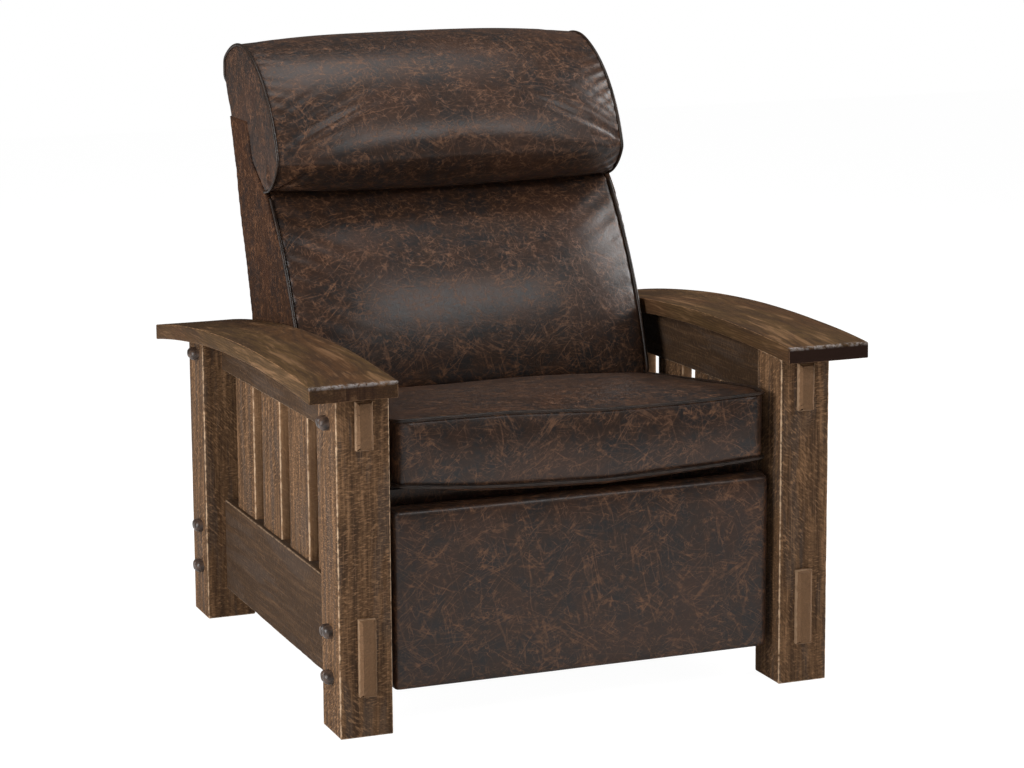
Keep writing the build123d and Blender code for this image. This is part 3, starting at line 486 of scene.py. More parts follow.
def ease_sharp_edges(width, segments=2):
    """Bevels every sharp edge of the active piece."""
    bpy.ops.object.mode_set(mode="EDIT")
    bpy.ops.mesh.select_mode(type="EDGE")
    bpy.ops.mesh.select_all(action="DESELECT")
    bpy.ops.mesh.edges_select_sharp(sharpness=math.radians(50))
    bpy.ops.mesh.bevel(offset=width, segments=segments, affect="EDGES", clamp_overlap=True)
    bpy.ops.object.mode_set(mode="OBJECT")


def set_share(piece, name, shares):
    """Stores one share for each point of a piece."""
    attribute = piece.data.attributes.get(name) or piece.data.attributes.new(name, "FLOAT", "POINT")
    attribute.data.foreach_set("value", np.asarray(shares, np.float32))


def smooth_share(value, low, high):
    """A smooth step from 0 at low to 1 at high, for numbers and arrays."""
    share = np.clip((np.asarray(value, float) - low) / (high - low), 0, 1)
    return share * share * (3 - 2 * share)


def points_of(piece):
    """A piece's points as an array."""
    points = np.empty(len(piece.data.vertices) * 3)
    piece.data.vertices.foreach_get("co", points)
    return points.reshape(-1, 3)


def move_points(piece, points):
    """Puts a piece's points at their new places."""
    piece.data.vertices.foreach_set("co", np.asarray(points, np.float64).ravel())
    piece.data.update()


def noises(points, scale, seed):
    """A smooth noise from -1 to 1 at each point."""
    step = Vector((seed * 7.31, seed * 3.17, seed * 5.93))
    return np.array([noise.noise(Vector(point) * scale + step) for point in points])


def from_arrises(points, low, high):
    """How far points are from a block's faces, axis by axis, and from its nearest arris."""
    nearest = np.minimum(points - np.array(low), np.array(high) - points)
    return nearest, np.sort(nearest, axis=1)[:, 1]


def roughen(piece, scale, seeds, depth):
    """Moves a piece's points about by a noise along each axis."""
    points = points_of(piece)
    move_points(piece, points + np.stack([noises(points, scale, seed) for seed in seeds], axis=1) * depth)


def wear_arrises(piece, low, high, seed):
    """Eats unevenly into a board's arrises and marks how near each point is to one."""
    settings = bpy.context.scene.recliner_timber
    points = points_of(piece)
    nearest, second = from_arrises(points, low, high)
    bite = np.clip(noises(points, 38.0, seed) * 0.8 + noises(points, 120.0, seed + 3) * 0.5, 0, 1)
    depth = settings.chip * bite * (1 - smooth_share(second, 0, settings.arris * 1.5))
    middle = (np.array(low) + np.array(high)) / 2
    inward = np.sign(middle - points) * (nearest < settings.arris * 1.5)
    move_points(piece, points + inward * depth[:, None])
    # This share lays the pale of the arrises: worn wood and a painted highlight
    set_share(piece, "wear", 1 - smooth_share(second, 0, settings.wear_highlight_reach))


def board(name, low, high, axis, seed):
    """A sawn board between two corners, with worn arrises whose pale is partly a painted highlight."""
    settings = bpy.context.scene.recliner_timber
    piece = block(name, low, high)
    split_along(piece, axis, max(1, round((high[axis] - low[axis]) / settings.cut_pitch)))
    for other in range(3):
        inset = min(settings.wear_highlight_reach, (high[other] - low[other]) * 0.4)
        cut_loops(piece, other, (low[other] + inset, high[other] - inset))
    ease_sharp_edges(min(settings.arris, min(h - l for l, h in zip(low, high)) * 0.2))
    wear_arrises(piece, low, high, seed)
    set_share(piece, "pale", np.zeros(len(piece.data.vertices)))
    bpy.ops.object.shade_smooth_by_angle(angle=math.radians(35))
    return piece


def join(name, pieces):
    """Joins pieces into one."""
    alone(pieces[0])
    for piece in pieces[1:]:
        piece.select_set(True)
    bpy.ops.object.join()
    joined = bpy.context.object
    joined.name = joined.data.name = name
    return joined


def settle(piece, body, finish, slot, *nodes):
    """Paints a finished piece and puts it on its body in place of its plain nodes."""
    paint(piece, finish)
    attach(piece, body)
    if nodes:
        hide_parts(*nodes)


def even_out(piece, voxel):
    """Remeshes a closed piece evenly."""
    alone(piece)
    remesh = piece.modifiers.new("even", "REMESH")
    remesh.mode = "VOXEL"
    remesh.voxel_size = voxel
    bpy.ops.object.modifier_apply(modifier=remesh.name)


def node_copy(name, node, voxel):
    """A merged and evenly remeshed copy of a plain node's mesh."""
    piece = bpy.data.objects.new(name, frame["nodes"][node].data.copy())
    bpy.context.scene.collection.objects.link(piece)
    alone(piece)
    bpy.ops.object.mode_set(mode="EDIT")
    bpy.ops.mesh.select_all(action="SELECT")
    bpy.ops.mesh.remove_doubles(threshold=0.01 * MM)
    bpy.ops.object.mode_set(mode="OBJECT")
    even_out(piece, voxel)
    piece.data.attributes.active_index = -1
    return piece


# How near a seam the leather is held, and how stiff and for how long it is simulated
HELD_REACH = 5 * MM
CLOTH_STIFFNESS = 6.0
CLOTH_FRAMES = 20


def fill_cushion(piece, held, pressure, cap):
    """Fills a closed cushion with air between its held points, and keeps the shape."""
    alone(piece)
    start = points_of(piece)
    group = piece.vertex_groups.new(name="seams")
    group.add(np.flatnonzero(held).tolist(), 1.0, "REPLACE")
    cloth = piece.modifiers.new("fill", "CLOTH")
    cloth.settings.quality = 6
    cloth.settings.mass = 0.35
    cloth.settings.tension_stiffness = CLOTH_STIFFNESS
    cloth.settings.compression_stiffness = CLOTH_STIFFNESS
    cloth.settings.shear_stiffness = CLOTH_STIFFNESS / 2
    cloth.settings.bending_stiffness = 0.6
    cloth.settings.use_pressure = True
    cloth.settings.uniform_pressure_force = pressure
    cloth.settings.vertex_group_mass = group.name
    cloth.settings.effector_weights.gravity = 0
    cloth.collision_settings.use_collision = False
    cloth.point_cache.frame_start = 1
    cloth.point_cache.frame_end = CLOTH_FRAMES
    for number in range(1, CLOTH_FRAMES + 1):
        bpy.context.scene.frame_set(number)
    bpy.ops.object.modifier_apply(modifier=cloth.name)
    bpy.context.scene.frame_set(1)
    step = points_of(piece) - start
    length = np.linalg.norm(step, axis=1)
    limit = np.minimum(length, cap * (1 - np.exp(-length / cap)))
    step *= (limit / np.maximum(length, 1e-9))[:, None]
    move_points(piece, start + step)
    piece.vertex_groups.clear()


def subdivide_once(piece):
    """One level of subdivision, applied."""
    alone(piece)
    finer = piece.modifiers.new("finer", "SUBSURF")
    finer.levels = finer.render_levels = 1
    bpy.ops.object.modifier_apply(modifier=finer.name)


def upholster(piece, body, node):
    """Finishes a padded leather piece that stands for a plain node."""
    alone(piece)
    bpy.ops.object.shade_smooth()
    settle(piece, body, "leather", "leather_over_foam", node)


def relax(piece, times):
    """Smooths a piece by its Smooth modifier, applied."""
    alone(piece)
    smoothing = piece.modifiers.new("relax", "SMOOTH")
    smoothing.iterations = times
    bpy.ops.object.modifier_apply(modifier=smoothing.name)


def welt(name, points, radius, body, closed=False):
    """A round leather welt swept along points, on its body."""
    curve = bpy.data.curves.new(name, "CURVE")
    curve.dimensions = "3D"
    spline = curve.splines.new("NURBS")
    spline.points.add(len(points) - 1)
    for target, point in zip(spline.points, points):
        target.co = (*point, 1.0)
    spline.order_u = 3
    spline.use_cyclic_u = closed
    spline.use_endpoint_u = not closed
    spline.resolution_u = 4
    curve.bevel_depth = radius
    curve.bevel_resolution = 4
    curve.use_fill_caps = not closed
    piece = bpy.data.objects.new(name, curve)
    bpy.context.scene.collection.objects.link(piece)
    alone(piece)
    bpy.ops.object.convert(target="MESH")
    piece = bpy.context.object
    piece.name = piece.data.name = name
    bpy.ops.object.shade_smooth()
    settle(piece, body, "welt", "leather")


def near_line(points, line):
    """The distance from each point to a line of points, and how far along the line that is."""
    line = np.asarray(line, float)
    best = np.full(len(points), 1e9)
    along = np.zeros(len(points))
    passed = 0.0
    for first, last in zip(line, line[1:]):
        run = last - first
        length = np.linalg.norm(run)
        share = np.clip((points - first) @ run / max(length**2, 1e-12), 0, 1)
        away = np.linalg.norm(points - (first + share[:, None] * run), axis=1)
        closer = away < best
        best[closer] = away[closer]
        along[closer] = passed + share[closer] * length
        passed += length
    return best, along


def normals_of(piece):
    """The outward direction at each of a piece's points."""
    normals = np.empty(len(piece.data.vertices) * 3)
    piece.data.vertices.foreach_get("normal", normals)
    return normals.reshape(-1, 3)


def swell(piece, heights):
    """Moves a piece's points outwards by their own heights."""
    points = points_of(piece)
    move_points(piece, points + normals_of(piece) * heights[:, None])


def crease(across, along, start, end, width, depth):
    """A fold along a line, in mm, that fades at its far end, with a soft ridge beside it."""
    flat = np.stack([across, along], axis=1)
    start, end, width, depth = np.array(start) * MM, np.array(end) * MM, width * MM, depth * MM
    run = end - start
    length = np.linalg.norm(run)
    share = np.clip((flat - start) @ run / length**2, 0, 1)
    off = flat - (start + share[:, None] * run)
    away = np.linalg.norm(off, axis=1)
    side = np.sign(off @ np.array([-run[1], run[0]]) / length)
    fade = (1 - share) ** 0.7 * np.minimum(1, share * 8 + 0.4)
    valley = -depth * np.exp(-((away / width) ** 2))
    ridge = depth * 0.55 * np.exp(-(((away - width * 1.9) / (width * 1.2)) ** 2)) * (side > 0)
    return (valley + ridge) * fade


class MESH_OT_recliner_finishes(bpy.types.Operator):
    """Makes every finish of the chair."""

    bl_idname = "mesh.recliner_finishes"
    bl_label = "Finishes"

    def execute(self, context):
        timber = context.scene.recliner_timber
        leather = context.scene.recliner_leather
        for axis, letter in enumerate("xyz"):
            main, shade = (timber.rail_brown, RAIL_SHADE) if letter == "y" else (timber.brown, 0.0)
            finish = make_rough_timber(f"rough_timber_{letter}", timber, axis, tuple(main), shade)
            FINISHES[f"timber_{letter}"] = finish
        FINISHES["arm"] = make_arm_timber("arm_timber", timber)
        FINISHES["leather"] = make_leather("distressed_leather", leather)
        FINISHES["red_leather"] = make_leather(
            "rubbed_leather", leather, redness=0.2, gloss=0.03, roughness=0.55
        )
        for key, (name, colour, second, scale, roughness, others) in PLAIN_FINISHES.items():
            FINISHES[key] = make_plain(name, colour, second, scale, roughness, **others)
        return {"FINISHED"}


NODE_FINISHES = {
    "zinc": ("carriage_bolts", "seat_frame_screws", "track_screws", "seat_springs"),
    "nylon": ("glide_shoes", "seat_spring_clips"),
    "leather": ("seat_front_rail",),
    "webbing": ("back_webbing",),
    "plywood": ("left_back_panel", "right_back_panel", "footrest_board"),
    "inner_timber": (
        "seat_rear_rail", "left_seat_side_rail", "right_seat_side_rail",
        "back_top_rail", "back_bottom_rail",
    ),
    "black_steel": (
        "front_cross_tube", "rear_cross_tube", "torque_tube",
        *[
            f"{side}_{part}"
            for side, _ in SIDES
            for part in (
                "slide_track", "carriage_plate", "rear_link", "front_link", "rear_control_link",
                "front_control_link", "footrest_bracket", "back_bracket",
            )
        ],
    ),
}


class MESH_OT_recliner_hardware(bpy.types.Operator):
    """Gives the hidden mechanism and the inner frames their finishes."""

    bl_idname = "mesh.recliner_hardware"
    bl_label = "Hardware"

    def execute(self, context):
        for finish, nodes in NODE_FINISHES.items():
            for node in nodes:
                paint(frame["nodes"][node], finish)
        return {"FINISHED"}


# The arms' bow and thickness, and how often they are cut across
ARM_RADIUS = 3850 * MM
ARM_THICKNESS = 27 * MM
ARM_CUTS = 34
ARM_CROWN = 590 * MM
ARM_CROWN_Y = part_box("right_arm_board")[0].y + 240 * MM


def arm_top(y):
    """The height of the arms' top at a place along them."""
    return ARM_CROWN - ARM_RADIUS + np.sqrt(ARM_RADIUS**2 - (y - ARM_CROWN_Y) ** 2)


def arm_under(y):
    """The height of the arms' underside at a place along them."""
    return arm_top(y) - ARM_THICKNESS


class MESH_OT_recliner_posts(bpy.types.Operator):
    """Builds the four square posts."""

    bl_idname = "mesh.recliner_posts"
    bl_label = "Posts"

    def execute(self, context):
        for seed, (side, _) in enumerate(SIDES):
            for end in ("front", "rear"):
                node = f"{side}_{end}_post"
                low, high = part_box(node)
                high.z -= 1.5 * MM
                piece = board(f"{node}_timber", low, high, 2, seed * 5 + len(end))
                points = points_of(piece)
                share = (points[:, 2] - low.z) / (high.z - low.z)
                points[:, 2] = low.z + share * (arm_under(points[:, 1]) - low.z + 0.5 * MM)
                move_points(piece, points)
                settle(piece, "frame", "timber_z", "rustic_timber", node)
        return {"FINISHED"}


# The top rails' underside and the bottoms of their tenons, as drops from the arms' crown
RAIL_DROP = 118 * MM
RAIL_FALL = 11 * MM
TENON_DROPS = (121 * MM, 137 * MM)
TENON_GAP = 9 * MM
TENON_CHAMFER = 5 * MM
TENON_PITCH = 9 * MM
TENON_ROOT = 20 * MM


def tenon_end(name, low, high, rear):
    """The end of a through tenon, chamfered all round its face."""
    piece = block(name, low, high)
    split_along(piece, 2, max(2, round((high[2] - low[2]) / TENON_PITCH)))
    face_y = high[1] if rear else low[1]

    def round_face(a, b):
        on_face = abs(a.y - face_y) < TOUCH and abs(b.y - face_y) < TOUCH
        return on_face and (abs(a.x - b.x) > TOUCH or min(abs(a.x - low[0]), abs(a.x - high[0])) < TOUCH)

    bevel_edges(piece, round_face, TENON_CHAMFER, 1)
    ease_sharp_edges(0.5 * MM, 1)
    roughen(piece, 70.0, range(rear, rear + 3), 0.5 * MM)
    x = points_of(piece)[:, 0]
    near_side = np.minimum(x - low[0], high[0] - x)
    # The chamfered sides take the arris pale: wear and a painted highlight
    set_share(piece, "wear", 1 - smooth_share(near_side, 0, TENON_CHAMFER))
    set_share(piece, "pale", np.full(len(x), 0.8))
    bpy.ops.object.shade_smooth_by_angle(angle=math.radians(20))
    return piece


class MESH_OT_recliner_rails(bpy.types.Operator):
    """Builds the side rails with their through tenons, and the stretchers."""

    bl_idname = "mesh.recliner_rails"
    bl_label = "Rails"

    tenon: length_setting("Tenon", "Thickness of the tenons", 28.6)
    low_tenon: length_setting("Low", "Bottom of the lower tenons", 68)
    tenon_height: length_setting("Height", "Height of the lower tenons", 128)

    def execute(self, context):
        for side, sign in SIDES:
            self.rail(side, sign, "bottom_rail")
            self.rail(side, sign, "top_rail")
        for node in ("front_stretcher", "rear_stretcher"):
            piece = board(f"{node}_timber", *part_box(node), 0, len(node))
            settle(piece, "frame", "timber_x", "rustic_timber", node)
        return {"FINISHED"}

    def rail(self, side, sign, rail):
        """One rail between its posts, and the two ends that show through them."""
        node = f"{side}_{rail}"
        front_low, front_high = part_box(f"{side}_front_post")
        rear_low, rear_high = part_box(f"{side}_rear_post")
        low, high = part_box(node)
        body_low = Vector((low.x, front_high.y - 3 * MM, low.z))
        body_high = Vector((high.x, rear_low.y + 3 * MM, high.z))
        piece = board(f"{node}_body", body_low, body_high, 1, sign + len(rail))
        if rail == "top_rail":
            points = points_of(piece)
            share = (points[:, 2] - body_low.z) / (body_high.z - body_low.z)
            along = (points[:, 1] - front_high.y) / (rear_low.y - front_high.y)
            under = ARM_CROWN - RAIL_DROP - along * RAIL_FALL
            top = arm_under(points[:, 1]) + 1 * MM
            points[:, 2] = under + share * (top - under)
            move_points(piece, points)
            bottoms = [ARM_CROWN - drop for drop in TENON_DROPS]
            tops = [arm_under(y) - TENON_GAP for y in (front_low.y, rear_high.y)]
        else:
            bottoms = (self.low_tenon,) * 2
            tops = (self.low_tenon + self.tenon_height,) * 2
        middle = (front_low.x + front_high.x) / 2 - sign * 1 * MM
        inner, outer = middle - self.tenon / 2, middle + self.tenon / 2
        reaches = ((low.y, front_low.y + TENON_ROOT), (rear_high.y - TENON_ROOT, high.y))
        parts = [piece]
        for rear, ((start, stop), bottom, top) in enumerate(zip(reaches, bottoms, tops)):
            name = f"{node}_end_{rear}"
            parts.append(tenon_end(name, (inner, start, bottom), (outer, stop, top), rear))
        settle(join(f"{node}_timber", parts), "frame", "timber_y", "rustic_timber", node)


class MESH_OT_recliner_slats(bpy.types.Operator):
    """Builds the four slats of each side."""

    bl_idname = "mesh.recliner_slats"
    bl_label = "Slats"

    width: length_setting("Width", "Width of one slat", 106)
    forward: length_setting("Forward", "How far the slats stand forward of their even places", 8)
    count: bpy.props.IntProperty(name="Count", description="Slats on each side", default=4, min=1)

    def execute(self, context):
        for side, sign in SIDES:
            node = f"{side}_side_slats"
            low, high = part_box(node)
            pitch = (high.y - low.y - self.width) / (self.count - 1)
            slats = []
            for index in range(self.count):
                start = low.y + pitch * index - self.forward
                corner_low = (low.x, start, low.z)
                corner_high = (high.x, start + self.width, high.z - index * 2 * MM)
                slat = board(f"{node}_{index}", corner_low, corner_high, 2, index * 3 + sign + 2)
                # Their front edges are painted pale tan, a painted highlight where front light falls on them
                ahead = points_of(slat)[:, 1] - start
                set_share(slat, "pale", 0.7 * (1 - smooth_share(ahead, 0.5 * MM, 3 * MM)))
                slats.append(slat)
            settle(join(f"{node}_timber", slats), "frame", "timber_z", "rustic_timber", node)
        return {"FINISHED"}


class MESH_OT_recliner_arms(bpy.types.Operator):
    """Builds the two bowed arm boards with their hewn front ends."""

    bl_idname = "mesh.recliner_arms"
    bl_label = "Arms"

    def execute(self, context):
        timber = context.scene.recliner_timber
        for side, sign in SIDES:
            node = f"{side}_arm_board"
            low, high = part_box(node)
            flat_low = Vector((low.x, low.y, 0.0))
            flat_high = Vector((high.x, high.y, ARM_THICKNESS))
            piece = block(f"{node}_timber", flat_low, flat_high)
            split_along(piece, 1, round((high.y - low.y) / timber.cut_pitch))
            split_along(piece, 0, ARM_CUTS)
            cut_loops(piece, 1, (low.y + 8 * MM,))
            cut_loops(piece, 2, (7 * MM, ARM_THICKNESS - 6 * MM))

            def top_front(a, b):
                return all(abs(p.y - low.y) < TOUCH and abs(p.z - ARM_THICKNESS) < TOUCH for p in (a, b))

            bevel_edges(piece, top_front, timber.hewn_edge, 3, 0.4)
            ease_sharp_edges(1.8 * MM, 2)
            self.wear(piece, flat_low, flat_high, sign, timber)
            bpy.ops.object.shade_smooth_by_angle(angle=math.radians(35))
            settle(piece, "frame", "arm", "arm_timber", node)
        return {"FINISHED"}

    def wear(self, piece, low, high, sign, timber):
        """Hews the front edge of a flat arm, wears it and bows it."""
        points = points_of(piece)
        to_front = points[:, 1] - low.y
        to_top = ARM_THICKNESS - points[:, 2]
        near_edge, past_edge = timber.hewn_edge * 0.9, timber.hewn_edge * 1.5
        hewn = 1 - smooth_share(to_front, near_edge, past_edge)
        hewn = hewn * (1 - smooth_share(to_top, near_edge, past_edge))
        across = points * np.array([1.0, 0.0, 0.0])
        bites = smooth_share(points[:, 0], low.x, high.x) if sign < 0 else 0.8
        scallop = noises(across, 22.0, sign + 4) * 1.2
        scallop += np.clip(noises(across, 60.0, sign + 9), 0, 1) * 3.6 * bites
        scallop += noises(points, 150.0, sign + 2) * 0.8
        points[:, 1] += hewn * scallop * MM
        points[:, 2] -= hewn * (scallop * 0.7 + 0.2) * MM
        nearest, second = from_arrises(points, low, high)
        wobble = noises(points, 9.0, sign + 6) * 0.9 * MM + noises(points, 40.0, sign + 7) * 0.3 * MM
        points[:, 0] += wobble * (1 - smooth_share(nearest[:, 0], 0, 6 * MM))
        points[:, 2] += noises(points, 7.0, sign + 8) * 0.6 * MM
        points[:, 2] += arm_under(points[:, 1])
        move_points(piece, points)
        end = (1 - smooth_share(to_front, 0.5 * MM, 2.5 * MM)) * (0.95 if sign > 0 else 0.5)
        # Pale along the arrises: wear and a painted highlight
        worn_and_highlight = 1 - smooth_share(second, 0, timber.wear_highlight_reach * 0.5)
        set_share(piece, "wear", worn_and_highlight * (1 - hewn))
        set_share(piece, "hewn", hewn)
        set_share(piece, "end", end * (1 - hewn))


# The pegs' dome steps in and up by these shares of their radius and stand
PEG_SIDES = 16
PEG_DOME = ((0.14, 0.26), (0.24, 0.18), (0.42, 0.09))


class MESH_OT_recliner_pegs(bpy.types.Operator):
    """Builds the domed pegs that lock the tenons."""

    bl_idname = "mesh.recliner_pegs"
    bl_label = "Pegs"

    radius: length_setting("Radius", "Radius of a peg", 11)
    stand: length_setting("Stand", "How far a peg stands out", 14)
    depth: length_setting("Depth", "Length of the peg's plain block", 30)
    setback: length_setting("Setback", "How far the front pegs stand behind their plain places", 8)

    def execute(self, context):
        for side, sign in SIDES:
            node = f"{side}_tenon_pegs"
            pegs = []
            for index, (y, z) in enumerate(self.centres(frame["nodes"][node].data)):
                place = (y + (self.setback if y < 0 else 0), z)
                pegs.append(self.peg(f"{node}_{index}", sign, place, index))
            settle(join(f"{node}_domed", pegs), "frame", "peg", "dark_pegs", node)
        return {"FINISHED"}

    def centres(self, mesh):
        """The (Y, Z) places of the plain pegs, gathered from their points."""
        reach = self.radius * 2.1
        found = []
        for vertex in mesh.vertices:
            y, z = vertex.co.y, vertex.co.z
            for group in found:
                if abs(group[0][0] - y) < reach and abs(group[0][1] - z) < reach:
                    group.append((y, z))
                    break
            else:
                found.append([(y, z)])
        return [tuple((min(values) + max(values)) / 2 for values in zip(*group)) for group in found]

    def peg(self, name, sign, place, seed):
        """One peg, inset and raised step by step into a dome."""
        outer = abs(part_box("right_front_post")[1].x)
        centre = (sign * (outer - self.depth / 2 + self.stand * 0.5), *place)
        bpy.ops.object.select_all(action="DESELECT")
        bpy.ops.mesh.primitive_cylinder_add(
            vertices=PEG_SIDES, radius=self.radius, depth=self.depth, location=centre,
            rotation=(0, math.pi / 2 * sign, 0)
        )
        piece = bpy.context.object
        piece.name = piece.data.name = name
        bpy.ops.object.transform_apply(location=True, rotation=True, scale=True)
        for inset, rise in PEG_DOME:
            bpy.ops.object.mode_set(mode="EDIT")
            bpy.ops.mesh.select_mode(type="FACE")
            bpy.ops.mesh.select_all(action="DESELECT")
            bpy.ops.object.mode_set(mode="OBJECT")
            for polygon in piece.data.polygons:
                flat = len(polygon.vertices) == PEG_SIDES
                polygon.select = flat and (polygon.center.x - centre[0]) * sign > 0
            bpy.ops.object.mode_set(mode="EDIT")
            bpy.ops.mesh.inset(thickness=self.radius * inset, depth=self.stand * rise)
            bpy.ops.object.mode_set(mode="OBJECT")
        roughen(piece, 55.0, range(seed, seed + 6, 2), 1.1 * MM)
        bpy.ops.object.shade_smooth_by_angle(angle=math.radians(28))
        return piece


# Shapes of the back: outlines behind and above the recline hinge
HINGE = Vector(next(joint for joint in frame["joints"] if joint["name"] == "back_recline")["pos_m"])
BACK_REACH = 311 * MM
BACK_HEIGHT = 703 * MM
BACK_FRONT_SHARES = [(-0.379, 0.161), (-0.212, 0.343), (-0.016, 0.518), (0.190, 0.630)]
BACK_BULGE = 20 * MM
FLANK = 3 * MM

# Heights between which the back's folds begin and end, its sides come flush and rise, and the
# headrest grows full
FOLDS_BEGIN = (520 * MM, 600 * MM)
FOLDS_END = (790 * MM, 830 * MM)
COVERS_FLUSH = (640 * MM, 790 * MM)
COVERS_RISE = (840 * MM, 882 * MM)
ROLL_FULL = (940 * MM, 1010 * MM)

# Shapes of the headrest: four arcs round its ends, and its folds, as start, end, width and depth in mm
END_ARCS = (
    ((0.238, 0.646), (0.055, 0.678), (-0.032, 0.730), 8),
    ((-0.032, 0.730), (0.183, 0.895), (0.550, 0.9945), 14),
    ((0.550, 0.9945), (0.775, 0.997), (0.985, 0.955), 8),
    ((0.985, 0.955), (0.990, 0.905), (0.905, 0.829), 8),
)
DEEP_FOLDS = (
    ((4, 26), (58, 98), 5.0, 7.5), ((4, 20), (80, 70), 5.0, 7.0), ((3, 14), (70, 36), 4.5, 5.0)
)
SHALLOW_FOLD = ((4, 24), (44, 74), 5.0, 2.0)


def back_place(shares, x=0.0):
    """A place in the back from its shares of reach and height."""
    return Vector((x, HINGE.y + shares[0] * BACK_REACH, HINGE.z + shares[1] * BACK_HEIGHT))


def arc_places(first, middle, last, count):
    """Places along the arc through three (Y, Z) places."""
    (ay, az), (by, bz), (cy, cz) = first, middle, last
    d = 2 * (ay * (bz - cz) + by * (cz - az) + cy * (az - bz))
    uy = ((ay**2 + az**2) * (bz - cz) + (by**2 + bz**2) * (cz - az) + (cy**2 + cz**2) * (az - bz)) / d
    uz = ((ay**2 + az**2) * (cy - by) + (by**2 + bz**2) * (ay - cy) + (cy**2 + cz**2) * (by - ay)) / d
    radius = math.hypot(ay - uy, az - uz)
    start = math.atan2(az - uz, ay - uy)
    middle_angle = math.atan2(bz - uz, by - uy)
    end = math.atan2(cz - uz, cy - uy)
    sweep = (end - start) % (2 * math.pi)
    if (middle_angle - start) % (2 * math.pi) > sweep:
        sweep -= 2 * math.pi
    angles = [start + sweep * index / count for index in range(count + 1)]
    return [(uy + radius * math.cos(angle), uz + radius * math.sin(angle)) for angle in angles]


# Shapes of the seat, how far it stands off its solid, and how its front seams lie across the chair,
# as places and lifts in mm
SEAT_DEPTH = 112 * MM
SEAT_UNDER = 387 * MM
SEAT_FRONT_TOP = 499 * MM
SEAT_REAR_TOP = 437 * MM
SEAT_WIDER = 4.5 * MM
SEAT_SETBACK = 6 * MM
SEAT_REAR_GAP = 2 * MM
WELT_PROUD = 1.4 * MM
TOP_SEAM = ((-320, 0), (-240, 3), (-128, 5), (-40, 1), (41, -3), (177, -5), (320, -6))
LOW_SEAM = ((-320, 5), (-220, 1), (-128, -2), (41, -6), (177, -4), (320, -4.5))


